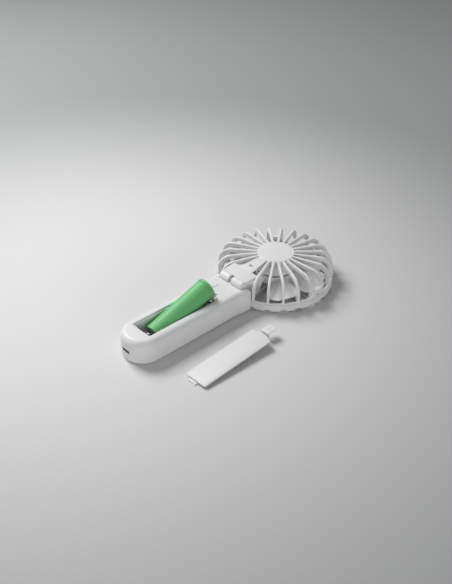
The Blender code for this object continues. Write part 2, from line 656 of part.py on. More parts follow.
def make_panel_hook(index, side, place):
    """One of the front panel's hooks, seen along Y: an arm with a nub over the shell's lip."""
    edge = HALF_WIDTH - PANEL_BORDER - GAP
    head_low = WELL_FLOOR + GAP
    head_top = head_low + PANEL_HOOK_HEAD
    outline = [(edge - PANEL_HOOK_THICKNESS, PANEL_THICKNESS - OVERLAP), (edge - GAP, PANEL_THICKNESS - OVERLAP),
               (edge - GAP, head_low), (edge + PANEL_HOOK_REACH, head_low + PANEL_HOOK_REACH / 2),
               (edge - GAP, head_top), (edge - PANEL_HOOK_THICKNESS, head_top)]
    half = PANEL_HOOK_WIDTH / 2
    return prism(f"hook_{index}", [(side * x, z) for x, z in outline], place - half, place + half, along="Y")


def make_front_panel():
    """The panel let into the front, which is also the battery compartment's floor."""
    border = PANEL_BORDER + GAP
    panel = prism("front_panel", handle_outline(border, border), 0, PANEL_THICKNESS, "white_panel")
    places = [(side, OPENING_TIP_Y + place) for side in (-1, 1) for place in PANEL_HOOK_PLACES]
    hooks = [make_panel_hook(i, side, place) for i, (side, place) in enumerate(places)]
    combine(panel, "UNION", merged("join_panel_hooks", hooks))
    button_hole = rod("cut_button_hole", BUTTON_RADIUS + GAP, (0, BUTTON_Y, -OVERLAP), (0, BUTTON_Y, WELL_FLOOR),
                      steps=ROUND_STEPS)
    lamp_hole = prism("cut_lamp_hole", lamp_outline(GAP), -OVERLAP, WELL_FLOOR)
    return combine(panel, "DIFFERENCE", button_hole, lamp_hole)


def make_lamp_lens():
    """The lens fills its window and rests on the panel with a lip."""
    levels = [(0, 0), (0, WELL_FLOOR), (LAMP_LIP, WELL_FLOOR), (LAMP_LIP, WELL_FLOOR + LAMP_LIP)]
    return lofted("lamp_lens", [[(x, y, up) for x, y in lamp_outline(margin)] for margin, up in levels],
                  "frosted_lens")


def make_power_button():
    """A dished cap in the front panel, kept in by a flange above the panel."""
    flange_top = WELL_FLOOR + BUTTON_FLANGE_THICKNESS
    edge = BUTTON_RADIUS - BUTTON_DISH
    profile = [(0, BUTTON_RECESS + BUTTON_DISH), (edge / 2, BUTTON_RECESS + BUTTON_DISH * 0.75),
               (edge, BUTTON_RECESS), (BUTTON_RADIUS, BUTTON_RECESS + BUTTON_DISH), (BUTTON_RADIUS, WELL_FLOOR),
               (BUTTON_RADIUS + BUTTON_FLANGE, WELL_FLOOR), (BUTTON_RADIUS + BUTTON_FLANGE, flange_top),
               (0, flange_top)]
    button = turned("power_button", profile, "white_button")
    button.location = (0, BUTTON_Y, 0)
    return button


def make_boards():
    """The control board behind the button and the charging board in the round tip, with their screws."""
    control = box("control_board", (-CONTROL_BOARD_WIDTH / 2, CONTROL_BOARD_TIP_Y, CONTROL_BOARD_BOTTOM),
                  (CONTROL_BOARD_WIDTH / 2, CONTROL_BOARD_HEAD_Y, CONTROL_BOARD_TOP), "board")
    reach = math.degrees(math.asin((CHARGE_BOARD_HEAD_Y - TIP_CENTRE_Y) / CHARGE_BOARD_RADIUS))
    outline = arc((0, TIP_CENTRE_Y), CHARGE_BOARD_RADIUS, -180 - reach, reach, 16)
    charge = prism("charge_board", outline, CHARGE_BOARD_BOTTOM, CHARGE_BOARD_TOP, "board")
    for i, (x, y, bottom) in enumerate(board_screw_places()):
        board = charge if bottom == CHARGE_BOARD_BOTTOM else control
        hole = rod(f"cut_board_hole_{i}", SCREW_RADIUS + GAP, (x, y, bottom - OVERLAP),
                   (x, y, bottom + BOARD_THICKNESS + OVERLAP), steps=SCREW_STEPS)
        combine(board, "DIFFERENCE", hole)
        screw(f"board_screw_{i + 1}", BOARD_SCREW_LENGTH - GAP, (x, y, bottom - GAP))


def make_switch():
    """The push switch under the control board, with its plunger towards the button."""
    half = SWITCH_SIZE / 2
    switch = box("power_switch", (-half, BUTTON_Y - half, SWITCH_BOTTOM),
                 (half, BUTTON_Y + half, SWITCH_BOTTOM + SWITCH_HEIGHT), "black_plastic")
    plunger = rod("join_plunger", SWITCH_PLUNGER_RADIUS, (0, BUTTON_Y, SWITCH_BOTTOM - SWITCH_PLUNGER_HEIGHT),
                  (0, BUTTON_Y, SWITCH_BOTTOM + OVERLAP))
    return combine(switch, "UNION", plunger)


def make_charging_port():
    """A folded shell on the charging board, and the contact tongue on its base inside."""
    back_y = PORT_MOUTH_Y + PORT_DEPTH
    shell = prism("port_shell", port_outline(0), PORT_MOUTH_Y, back_y, "plated_steel", along="Y")
    hollow = prism("cut_port_hollow", port_outline(-PORT_SHELL), PORT_MOUTH_Y - OVERLAP, back_y + OVERLAP,
                   along="Y")
    combine(shell, "DIFFERENCE", hollow)
    base_y = back_y - PORT_BASE_DEPTH
    base = prism("port_tongue", port_outline(-PORT_SHELL - GAP), base_y, back_y, "black_plastic", along="Y")
    half_width, half_thickness = PORT_TONGUE_WIDTH / 2, PORT_TONGUE_THICKNESS / 2
    tongue = box("join_port_tongue", (-half_width, PORT_MOUTH_Y + PORT_TONGUE_SET_BACK, PORT_UP - half_thickness),
                 (half_width, base_y + OVERLAP, PORT_UP + half_thickness))
    return combine(base, "UNION", tongue)


# Battery contacts


def spring_points():
    """The conical contact spring's wire, from its wide turn at the wall to its narrow one, along +Y."""
    start_y = WELL_TIP_Y + GAP + CONTACT_THICKNESS + GAP + SPRING_WIRE / 2
    count = SPRING_TURNS * SPRING_POINTS_PER_TURN
    points = []
    for i in range(count + 1):
        share = i / count
        angle = 2 * math.pi * SPRING_TURNS * share
        radius = SPRING_BASE_RADIUS + (SPRING_TOP_RADIUS - SPRING_BASE_RADIUS) * share
        points.append(Vector((radius * math.cos(angle), start_y + share * (SPRING_LENGTH - SPRING_WIRE),
                              SEATED_CELL_UP + radius * math.sin(angle))))
    return points


def least_spring_gap(points):
    """Least air between two stretches of the wire that lie half a turn or more apart."""
    apart = SPRING_POINTS_PER_TURN // 2
    gaps = [(a - b).length for i, a in enumerate(points) for b in points[i + apart:]]
    return min(gaps) - SPRING_WIRE


def make_contact_spring():
    points = spring_points()
    print(f"contact spring: least gap to itself {least_spring_gap(points) * 1000:.2f} mm")
    first = points[0] + (points[0] - points[1]).normalized() * SPRING_WIRE
    last = points[-1] + (points[-1] - points[-2]).normalized() * SPRING_WIRE
    points = [first] + points + [last]
    curve = bpy.data.curves.new("contact_spring", "CURVE")
    curve.dimensions = "3D"
    curve.bevel_depth = SPRING_WIRE / 2
    curve.bevel_resolution = 1
    curve.use_fill_caps = True
    spline = curve.splines.new("POLY")
    spline.points.add(len(points) - 1)
    for target, point in zip(spline.points, points):
        target.co = (*point, 1)
    spline.use_smooth = True
    return add_object("contact_spring", curve, "spring_steel")


def make_contact_plates():
    half_width, half_height = CONTACT_WIDTH / 2, CONTACT_HEIGHT / 2
    tip_y, head_y = WELL_TIP_Y + GAP, WELL_HEAD_Y - GAP
    box("negative_plate", (-half_width, tip_y, SEATED_CELL_UP - half_height),
        (half_width, tip_y + CONTACT_THICKNESS, SEATED_CELL_UP + half_height), "plated_steel")
    plate = box("positive_plate", (-half_width, head_y - CONTACT_THICKNESS, SEATED_CELL_UP - half_height),
                (half_width, head_y, SEATED_CELL_UP + half_height), "plated_steel")
    crown = CONTACT_THICKNESS / 2 + CONTACT_DIMPLE_HEIGHT
    dimple = turned("join_dimple", [(0, 0), (CONTACT_DIMPLE_RADIUS, 0), (CONTACT_DIMPLE_TOP_RADIUS, crown),
                                    (0, crown)], steps=SMALL_STEPS)
    middle = Matrix.Translation((0, head_y - CONTACT_THICKNESS / 2, SEATED_CELL_UP))
    dimple.data.transform(middle @ Matrix.Rotation(math.radians(90), 4, "X"))
    combine(plate, "UNION", dimple)


# Battery cell, drawn upright on its negative end and leant by its parent


def sleeve_side(radius, length):
    """The sleeve's outer side from its folded bottom edge to its folded top edge."""
    groove = length - CELL_GROOVE_FROM_END
    half = CELL_GROOVE_WIDTH / 2
    return [(radius - CELL_EDGE_RADIUS, 0), (radius, CELL_EDGE_RADIUS), (radius, groove - half),
            (radius - CELL_GROOVE_DEPTH, groove - half / 4), (radius - CELL_GROOVE_DEPTH, groove + half / 4),
            (radius, groove + half), (radius, length - CELL_EDGE_RADIUS), (radius - CELL_EDGE_RADIUS, length)]


def inset_profile(side, inset):
    """The same side moved in by the inset."""
    length = side[-1][1]
    bottom, top = (side[0][0], inset), (side[-1][0], length - inset)
    return [bottom] + [(radius - inset, up) for radius, up in side[1:-1]] + [top]


def cell_lean():
    """Angle and low end of the cell, which rests on the floor and on the edges of the latch notch."""
    radius = CELL_DIAMETER / 2
    low_y = WELL_TIP_Y + CELL_SET_BACK
    edge_x = LATCH_NOTCH_WIDTH / 2 - abs(LATCH_OFFSET)
    reach = math.sqrt((radius + GAP) ** 2 - edge_x ** 2)
    flat, steep = 0.0, math.radians(45)
    for _ in range(50):
        angle = (flat + steep) / 2
        low_up = WELL_FLOOR + radius * math.cos(angle)
        below_axis = (OPENING_HEAD_Y - low_y) * math.sin(angle) - (HANDLE_THICKNESS - low_up) * math.cos(angle)
        if below_axis < reach:
            flat = angle
        else:
            steep = angle
    return angle, (0, low_y, low_up)


def make_cell():
    radius = CELL_DIAMETER / 2
    length = CELL_LENGTH - CELL_CAP_HEIGHT
    side = sleeve_side(radius, length)
    lip = radius - CELL_LIP
    sleeve = [(lip, 0)] + side + [(lip, length), (lip, length - CELL_SLEEVE)]
    sleeve += list(reversed(inset_profile(side, CELL_SLEEVE))) + [(lip, CELL_SLEEVE)]
    washer_top = length - CELL_SLEEVE - GAP
    washer_bottom = washer_top - CELL_WASHER_THICKNESS
    can_top = washer_bottom - GAP
    inset = CELL_SLEEVE + GAP
    inside = radius - inset
    can = [(0, inset)] + inset_profile(side, inset)[:-2] + [(inside, can_top), (0, can_top)]
    cap = CELL_CAP_DIAMETER / 2
    cap_edge = CELL_EDGE_RADIUS / 2
    rim = inside - GAP
    washer = [(cap + GAP, washer_bottom), (rim, washer_bottom), (rim, washer_top), (cap + GAP, washer_top)]
    button = [(0, can_top + GAP), (cap, can_top + GAP), (cap, CELL_LENGTH - cap_edge),
              (cap - cap_edge, CELL_LENGTH), (0, CELL_LENGTH)]
    pieces = [turned("cell_sleeve", sleeve, "green_sleeve"), turned("cell_can", can, "plated_steel"),
              turned("cell_washer", washer, "white_washer"), turned("cell_cap", button, "plated_steel")]
    angle, low_end = cell_lean()
    print(f"cell leans {math.degrees(angle):.1f} degrees")
    place = pivot("cell_place", low_end)
    place.rotation_euler = (angle - math.radians(90), 0, 0)
    for piece in pieces:
        piece.parent = place


# Battery door, drawn with its tip end at y = 0 and its outer face at z = 0


def latch_bend():
    """Middle and radius of the latch's spring bend, as (y, z) and its outer radius."""
    near, far = DOOR_LENGTH - GAP / 2 - LATCH_STRIP, DOOR_LENGTH + LATCH_BEND_LENGTH
    radius = (far - near) / 2
    return (near + radius, radius - LATCH_DEPTH), radius


def make_latch():
    """The U-shaped spring with its barb and thumb tab, seen along X and trimmed to the tab's rounded outline."""
    strip = LATCH_STRIP
    (middle, low), bend = latch_bend()
    near, far = middle - bend, middle + bend
    tab_end = DOOR_LENGTH + LATCH_TAB_REACH
    root, top = -DOOR_THICKNESS / 2, THUMB_TAB_RISE
    outline = [(near, root)] + arc((middle, low), bend, 180, 360, 10)
    outline += [(far, -LATCH_BARB_DEPTH - LATCH_BARB_HEIGHT), (far + LATCH_BARB, -LATCH_BARB_DEPTH),
                (far, -LATCH_BARB_DEPTH), (far, top - strip), (tab_end, top - strip), (tab_end, top),
                (far - strip, top)]
    outline += arc((middle, low), bend - strip, 0, -180, 10) + [(near + strip, root)]
    left, right = LATCH_OFFSET - LATCH_WIDTH / 2, LATCH_OFFSET + LATCH_WIDTH / 2
    latch = prism("join_latch", outline, left - OVERLAP, right + OVERLAP, along="X")
    trim_outline = rounded_rectangle(left, DOOR_LENGTH / 2, right, tab_end - GAP / 10, THUMB_TAB_CORNER)
    trim = prism("keep_latch_outline", trim_outline, -LATCH_DEPTH - OVERLAP, top + OVERLAP)
    return combine(latch, "INTERSECT", trim)


def make_door():
    half = DOOR_WIDTH / 2
    outline = rounded_rectangle(-half, 0, half, DOOR_LENGTH, DOOR_CORNER_RADIUS - DOOR_CLEARANCE)
    door = prism("battery_door", outline, -DOOR_THICKNESS, 0, "white_door")
    tongue_top = -DOOR_THICKNESS - GAP
    tongue_low = tongue_top - TONGUE_THICKNESS
    root = LEDGE_END + GAP
    side = [(-TONGUE_REACH, tongue_low), (root + TONGUE_ROOT, tongue_low),
            (root + TONGUE_ROOT, -DOOR_THICKNESS / 2), (root, -DOOR_THICKNESS / 2), (root, tongue_top),
            (-TONGUE_REACH, tongue_top)]
    tongue = prism("join_tongue", side, TONGUE_OFFSET - TONGUE_WIDTH / 2, TONGUE_OFFSET + TONGUE_WIDTH / 2,
                   along="X")
    combine(door, "UNION", tongue, make_latch())
    tab_middle = DOOR_LENGTH + LATCH_TAB_REACH - THUMB_TAB_LENGTH / 2
    dimples = [rod(f"dimple_{i}", TAB_DIMPLE_RADIUS, (LATCH_OFFSET, y, THUMB_TAB_RISE - TAB_DIMPLE_DEPTH),
                   (LATCH_OFFSET, y, THUMB_TAB_RISE + OVERLAP), steps=12)
               for i, y in enumerate((tab_middle - 2 * TAB_DIMPLE_RADIUS, tab_middle + 2 * TAB_DIMPLE_RADIUS))]
    combine(door, "DIFFERENCE", merged("cut_tab_dimples", dimples))

    # It lies on the end of its tongue and on the bottom of its spring bend.
    (bend_y, bend_up), bend_radius = latch_bend()
    run, fall = bend_y + TONGUE_REACH, bend_up - tongue_low
    tilt = math.asin(bend_radius / math.hypot(run, fall)) - math.atan2(fall, run)
    place = pivot("door_place", (*DOOR_PLACE, TONGUE_REACH * math.sin(tilt) - tongue_low * math.cos(tilt)))
    place.rotation_euler = (tilt, 0, math.radians(DOOR_YAW))
    door.parent = place
    print(f"door tilts {math.degrees(tilt):.1f} degrees")


# Rear cage


def rib_path():
    """Outer line of a rib in (radius, height): down from the disc, round the shoulder and straight to the rim."""
    outer = HEAD_RADIUS - RIB_SET_BACK
    centre = (outer - RIB_SHOULDER_RADIUS, DISC_TOP - RIB_DROP_OUTER - RIB_SHOULDER_RADIUS)
    start = (DISC_RADIUS - OVERLAP, DISC_TOP - RIB_DROP_INNER)
    top = math.degrees(math.atan2(centre[1] + RIB_SHOULDER_RADIUS - start[1], centre[0] - start[0])) + 90
    return [start] + arc(centre, RIB_SHOULDER_RADIUS, top, 0, 4) + [(outer, RIM_BOTTOM + RIM_EDGE)]


def make_rib():
    """A bar of tapering section along the rib's path, drawn at +X."""
    path = [Vector((radius, 0, up)) for radius, up in rib_path()]
    rings = []
    for i, point in enumerate(path):
        along = (path[min(i + 1, len(path) - 1)] - path[max(i - 1, 0)]).normalized()
        outward = Vector((-along.z, 0, along.x))
        share = (point.x - DISC_RADIUS) / (HEAD_RADIUS - DISC_RADIUS)
        half = (RIB_WIDTH_INNER + (RIB_WIDTH_OUTER - RIB_WIDTH_INNER) * max(share, 0)) / 2
        section = [(-half + RIB_CHAMFER, 0), (half - RIB_CHAMFER, 0), (half, RIB_CHAMFER),
                   (half * RIB_TAPER, RIB_DEPTH), (-half * RIB_TAPER, RIB_DEPTH), (-half, RIB_CHAMFER)]
        rings.append([point + Vector((0, across, 0)) - outward * depth for across, depth in section])
    return lofted("rib", rings)


def make_barrel():
    """The two barrels before the notch between them is cut."""
    half, edge = BARREL_HALF_LENGTH, BARREL_EDGE_RADIUS
    corner = arc((BARREL_RADIUS - edge, half - edge), edge, 0, 90, 2)
    upper = [(0, half)] + list(reversed(corner))
    profile = upper + [(radius, -up) for radius, up in reversed(upper)]
    barrel = turned("join_barrel", profile)
    barrel.data.transform(Matrix.Translation((0, HINGE_Y, HINGE_UP)) @ Matrix.Rotation(math.radians(90), 4, "Y"))
    return barrel


def make_hinge_plate():
    """The plate over the two barrels, seen from above."""
    inner_y, step_y = HINGE_Y + HINGE_PLATE_LENGTH, HINGE_Y + HINGE_PLATE_STEP
    inner, outer = HINGE_PLATE_INNER_WIDTH / 2, HINGE_PLATE_OUTER_WIDTH / 2
    corner = (outer - BARREL_HALF_LENGTH) / 2
    right = [(BARREL_HALF_LENGTH - BARREL_EDGE_RADIUS, HINGE_Y),
             (BARREL_HALF_LENGTH, HINGE_Y + BARREL_EDGE_RADIUS), (BARREL_HALF_LENGTH, step_y),
             (outer - corner, step_y), (outer, step_y + corner), (inner, inner_y)]
    outline = right + [(-x, y) for x, y in reversed(right)]
    top = HINGE_UP + BARREL_RADIUS - HINGE_PLATE_DROP
    return prism("join_hinge_plate", outline, top - HINGE_PLATE_THICKNESS, top)


def make_strap():
    """The strap from the disc to the hinge plate, over the two ribs nearest the handle."""
    outer_top = HINGE_UP + BARREL_RADIUS - HINGE_PLATE_DROP - GAP / 2
    ends = [(-DISC_RADIUS + OVERLAP, STRAP_INNER_WIDTH / 2, DISC_TOP - RIB_DROP_INNER / 2),
            (HINGE_Y + HINGE_PLATE_LENGTH - OVERLAP, STRAP_OUTER_WIDTH / 2, outer_top)]
    rings = []
    for y, half, top in ends:
        low = top - STRAP_THICKNESS
        rings.append([(-half, y, low), (half, y, low), (half, y, top), (-half, y, top)])
    return lofted("join_strap", rings)


def catch_angles():
    return [angle - 90 for angle in CATCH_ANGLES]


def make_catch_web():
    """The web between two ribs that carries a catch, drawn at +X."""
    outer = HEAD_RADIUS - RIB_SET_BACK - RIB_CHAMFER
    half = outer * math.sin(math.pi / RIB_COUNT)
    return box("catch_web", (outer - CATCH_THICKNESS, -half, RIM_BOTTOM + RIM_EDGE),
               (outer, half, RIM_TOP + CATCH_HEIGHT))


def make_catch_hook():
    """The hook that goes down inside the front ring, seen along Y."""
    face = RING_INSIDE - SLIDE_GAP
    low = RIM_BOTTOM - HOOK_DEPTH
    root, top = RIM_BOTTOM + GAP, RIM_BOTTOM + RIM_HEIGHT / 2
    outline = [(face - HOOK_THICKNESS, top), (face - HOOK_THICKNESS, low), (face, low),
               (face + HOOK_REACH, low + HOOK_BARB_HEIGHT / 2), (face + HOOK_REACH, low + HOOK_BARB_HEIGHT),
               (face, low + HOOK_BARB_HEIGHT), (face, root), (RING_INSIDE + OVERLAP, root),
               (RING_INSIDE + OVERLAP, top)]
    return prism("catch_hook", outline, -HOOK_WIDTH / 2, HOOK_WIDTH / 2, along="Y")


def make_hook_window():
    """The recess inside the front ring that a catch's barb snaps into."""
    low = RIM_BOTTOM - HOOK_DEPTH
    half = HOOK_WIDTH / 2 + GAP
    return box("hook_window", (RING_INSIDE - OVERLAP, -half, low - GAP),
               (RING_INSIDE - SLIDE_GAP + HOOK_REACH + GAP, half, low + HOOK_BARB_HEIGHT + GAP))


def make_lug_notch():
    """The notch between the barrels, with the round relief that clears the handle's lug, seen along X."""
    reach = LUG_RADIUS + SLIDE_GAP
    turn = math.degrees(math.acos(HINGE_PLATE_NOTCH / reach))
    back, front = HINGE_Y - BARREL_RADIUS - OVERLAP, HINGE_Y + HINGE_PLATE_NOTCH
    low, high = HINGE_UP - BARREL_RADIUS - OVERLAP, HINGE_UP + BARREL_RADIUS + OVERLAP
    outline = [(back, low), (front, low)] + arc((HINGE_Y, HINGE_UP), reach, -turn, turn, 8)
    outline += [(front, high), (back, high)]
    return prism("cut_lug_notch", outline, -BARREL_NOTCH / 2, BARREL_NOTCH / 2, along="X")


def plate_screw_places():
    angles = [math.radians(angle) for angle in even_angles(PLATE_SCREW_COUNT, 30)]
    return [(PLATE_SCREW_CIRCLE * math.cos(a), PLATE_SCREW_CIRCLE * math.sin(a)) for a in angles]


def make_rear_cage():
    """Disc, motor pod, ribs, rim, catches and the hinge's moving half in one moulding."""
    profile = [(0, DISC_TOP), (DISC_RADIUS - DISC_EDGE_RADIUS, DISC_TOP),
               (DISC_RADIUS, DISC_TOP - DISC_EDGE_RADIUS), (POD_RADIUS, POD_BOTTOM),
               (POD_RADIUS - POD_WALL, POD_BOTTOM), (DISC_RADIUS - POD_WALL, DISC_BOTTOM), (0, DISC_BOTTOM)]
    cage = turned("rear_cage", profile, "white_cage", steps=HUB_STEPS)
    posts = [rod(f"plate_post_{i}", PLATE_POST_RADIUS, (x, y, POD_BOTTOM + GAP), (x, y, DISC_BOTTOM + OVERLAP))
             for i, (x, y) in enumerate(plate_screw_places())]
    ribs = repeat_round("join_ribs", make_rib(), even_angles(RIB_COUNT, -90 + 180 / RIB_COUNT))
    rim_profile = [(RING_INSIDE, RIM_BOTTOM), (HEAD_RADIUS, RIM_BOTTOM), (HEAD_RADIUS, RIM_TOP - RIM_EDGE),
                   (HEAD_RADIUS - RIM_EDGE, RIM_TOP), (RING_INSIDE, RIM_TOP)]
    rim = turned("join_rim", rim_profile, steps=RING_STEPS)
    webs = repeat_round("join_catch_webs", make_catch_web(), catch_angles())
    hooks = repeat_round("join_catch_hooks", make_catch_hook(), catch_angles())
    combine(cage, "UNION", merged("join_posts", posts), ribs, rim, make_barrel(), make_hinge_plate(),
            make_strap(), webs, hooks)

    slot_low = RIM_TOP + CATCH_SLOT_UP
    slot = box("catch_slot", (RING_INSIDE - OVERLAP, -CATCH_SLOT_WIDTH / 2, slot_low),
               (HEAD_RADIUS + OVERLAP, CATCH_SLOT_WIDTH / 2, slot_low + CATCH_SLOT_HEIGHT))
    slots = repeat_round("cut_catch_slots", slot, catch_angles())
    window_low, window_high = STRAP_WINDOW_AT + STRAP_WINDOW_LENGTH / 2, STRAP_WINDOW_AT - STRAP_WINDOW_LENGTH / 2
    window = box("cut_strap_window", (-STRAP_WINDOW_WIDTH / 2, -window_low, HINGE_UP),
                 (STRAP_WINDOW_WIDTH / 2, -window_high, DISC_TOP))
    bore = hinge_rod("cut_pin_bore", PIN_RADIUS + GAP, -BARREL_HALF_LENGTH - OVERLAP,
                     BARREL_HALF_LENGTH - PIN_END_WALL)
    hole_top = MOTOR_PLATE_BOTTOM + COUNTERBORE + PLATE_SCREW_LENGTH
    holes = [rod(f"plate_hole_{i}", SCREW_RADIUS + GAP, (x, y, POD_BOTTOM - OVERLAP), (x, y, hole_top),
                 steps=SCREW_STEPS)
             for i, (x, y) in enumerate(plate_screw_places())]
    return combine(cage, "DIFFERENCE", slots, window, make_lug_notch(), bore, merged("cut_plate_holes", holes))


def make_hinge_pin():
    """The pin goes in from the left and ends in the right barrel's blind bore."""
    return hinge_rod("hinge_pin", PIN_RADIUS, PIN_RECESS - BARREL_HALF_LENGTH,
                     BARREL_HALF_LENGTH - PIN_END_WALL - GAP, "plated_steel")


# Front guard


def make_slot():
    """A slot between two bars of the front guard, drawn at +X: a wedge with a round outer end."""
    half_angle = math.pi / RIB_COUNT
    centre = (HEAD_RADIUS + SLOT_REACH + BAR_WIDTH / 2) / (1 + math.sin(half_angle))
    radius = centre * math.sin(half_angle) - BAR_WIDTH / 2
    inner_half = GUARD_HUB_RADIUS * math.tan(half_angle) - BAR_WIDTH / 2 / math.cos(half_angle)
    tangent = 90 + math.degrees(half_angle)
    outline = [(GUARD_HUB_RADIUS, inner_half), (GUARD_HUB_RADIUS, -inner_half)]
    outline += arc((centre, 0), radius, -tangent, tangent, 6)
    return prism("slot", outline, -OVERLAP, SLOT_RISE)


def make_front_guard():
    """Ring and slotted front face in one moulding, with a seat for the cap in its middle."""
    seat, seat_up = FRONT_CAP_RADIUS + GAP, FRONT_CAP_THICKNESS + GAP
    corner = (HEAD_RADIUS - RING_EDGE_RADIUS, GUARD_DISH + RING_EDGE_RADIUS)
    profile = [(0, seat_up), (seat, seat_up), (seat, GUARD_DISH / 10)] + arc(corner, RING_EDGE_RADIUS, -90, 0, 4)
    profile += [(HEAD_RADIUS, RING_HEIGHT), (RING_INSIDE, RING_HEIGHT), (RING_INSIDE, GUARD_TOP + 2 * OVERLAP),
                (RING_INSIDE - 2 * OVERLAP, GUARD_TOP), (0, GUARD_TOP)]
    guard = turned("front_guard", profile, "white_guard", steps=RING_STEPS)
    slots = repeat_round("cut_slots", make_slot(), even_angles(RIB_COUNT, 180 / RIB_COUNT))
    windows = repeat_round("cut_hook_windows", make_hook_window(), catch_angles())
    return combine(guard, "DIFFERENCE", slots, windows)


def make_front_cap():
    edge = FRONT_CAP_THICKNESS / 4
    profile = [(0, 0), (FRONT_CAP_RADIUS - edge, 0), (FRONT_CAP_RADIUS, edge),
               (FRONT_CAP_RADIUS, FRONT_CAP_THICKNESS),
               (0, FRONT_CAP_THICKNESS)]
    return turned("front_cap", profile, "white_cap", steps=HUB_STEPS)


# Motor and impeller


def motor_screw_places():
    return [(-MOTOR_SCREW_CIRCLE, 0), (MOTOR_SCREW_CIRCLE, 0)]


def make_motor_plate():
    """The lid of the pod, which carries the motor, and its screws, sunk clear of the impeller."""
    hole = BUSHING_RADIUS + GAP
    profile = [(hole, MOTOR_PLATE_BOTTOM), (POD_RADIUS, MOTOR_PLATE_BOTTOM), (POD_RADIUS, MOTOR_PLATE_TOP),
               (hole, MOTOR_PLATE_TOP)]
    plate = turned("motor_plate", profile, "grey_plate", steps=HUB_STEPS)
    sinks, holes = [], []
    for i, (x, y) in enumerate(plate_screw_places() + motor_screw_places()):
        sinks.append(rod(f"sink_{i}", SCREW_HEAD_RADIUS + GAP, (x, y, MOTOR_PLATE_BOTTOM - OVERLAP),
                         (x, y, MOTOR_PLATE_BOTTOM + COUNTERBORE), steps=12))
        holes.append(rod(f"hole_{i}", SCREW_RADIUS + GAP, (x, y, MOTOR_PLATE_BOTTOM),
                         (x, y, MOTOR_PLATE_TOP + OVERLAP), steps=SCREW_STEPS))
    combine(plate, "DIFFERENCE", merged("cut_sinks", sinks), merged("cut_screw_holes", holes))
    seat = MOTOR_PLATE_BOTTOM + COUNTERBORE - GAP
    plate_screws = [screw(f"plate_screw_{i + 1}", PLATE_SCREW_LENGTH, (x, y, seat))
                    for i, (x, y) in enumerate(plate_screw_places())]
    motor_screws = [screw(f"motor_screw_{i + 1}", MOTOR_SCREW_LENGTH, (x, y, seat))
                    for i, (x, y) in enumerate(motor_screw_places())]
    return [plate] + plate_screws + motor_screws


def make_motor():
    """The motor's can with its bushing at the front and its cap at the back."""
    bore, seat = SHAFT_RADIUS + SLIDE_GAP, BUSHING_RADIUS + GAP
    bushing_top = MOTOR_PLATE_BOTTOM + BUSHING_LENGTH
    can_top = MOTOR_TOP - MOTOR_CAP_HEIGHT - GAP
    edge = MOTOR_EDGE_RADIUS
    profile = [(bore, bushing_top + GAP), (seat, bushing_top + GAP), (seat, MOTOR_BOTTOM),
               (MOTOR_RADIUS - edge, MOTOR_BOTTOM), (MOTOR_RADIUS, MOTOR_BOTTOM + edge),
               (MOTOR_RADIUS, can_top - edge), (MOTOR_RADIUS - edge, can_top), (bore, can_top)]
    can = turned("motor_can", profile, "motor_steel")
    hole_top = MOTOR_PLATE_BOTTOM + COUNTERBORE + MOTOR_SCREW_LENGTH
    holes = [rod(f"motor_hole_{i}", SCREW_RADIUS + GAP, (x, y, MOTOR_BOTTOM - OVERLAP), (x, y, hole_top),
                 steps=SCREW_STEPS)
             for i, (x, y) in enumerate(motor_screw_places())]
    combine(can, "DIFFERENCE", merged("cut_motor_holes", holes))
    bushing = turned("motor_bushing", [(bore, MOTOR_PLATE_BOTTOM), (BUSHING_RADIUS, MOTOR_PLATE_BOTTOM),
                                       (BUSHING_RADIUS, bushing_top), (bore, bushing_top)], "bronze", steps=24)
    cap_low = MOTOR_TOP - MOTOR_CAP_HEIGHT
    cap = turned("motor_cap",
                 [(0, cap_low), (MOTOR_CAP_RADIUS, cap_low), (MOTOR_CAP_RADIUS, MOTOR_TOP), (0, MOTOR_TOP)],
                 "black_plastic")
    return [can, bushing, cap]


def blade_row(share, width, side):
    """One side of the blade at one station, from its front edge to its back edge."""
    root = HUB_RADIUS - OVERLAP
    radius = root + (BLADE_RADIUS - root) * share
    rise = BLADE_ROOT_HEIGHT + (BLADE_TIP_HEIGHT - BLADE_ROOT_HEIGHT) * share
    row = []
    for i in range(BLADE_CHORD_POINTS):
        chord = (2 * i / (BLADE_CHORD_POINTS - 1) - 1) * width
        angle = math.radians(BLADE_ANGLE / 2 * chord + BLADE_SWEEP * share ** 2)
        thickness = BLADE_THICKNESS * (1 - BLADE_EDGE_THINNING * chord ** 2)
        middle = HUB_BOTTOM + HUB_HEIGHT / 2 + rise / 2 * chord + BLADE_CAMBER * (1 - chord ** 2)
        row.append((radius * math.cos(angle), radius * math.sin(angle), middle + side * thickness / 2))
    return row


def make_blade():
    """A twisted, cambered blade drawn at +X, with its section rounded off towards the tip."""
    rings = []
    for share, width in BLADE_STATIONS:
        rings.append(blade_row(share, width, 1) + list(reversed(blade_row(share, width, -1))))
    return lofted("blade", rings)


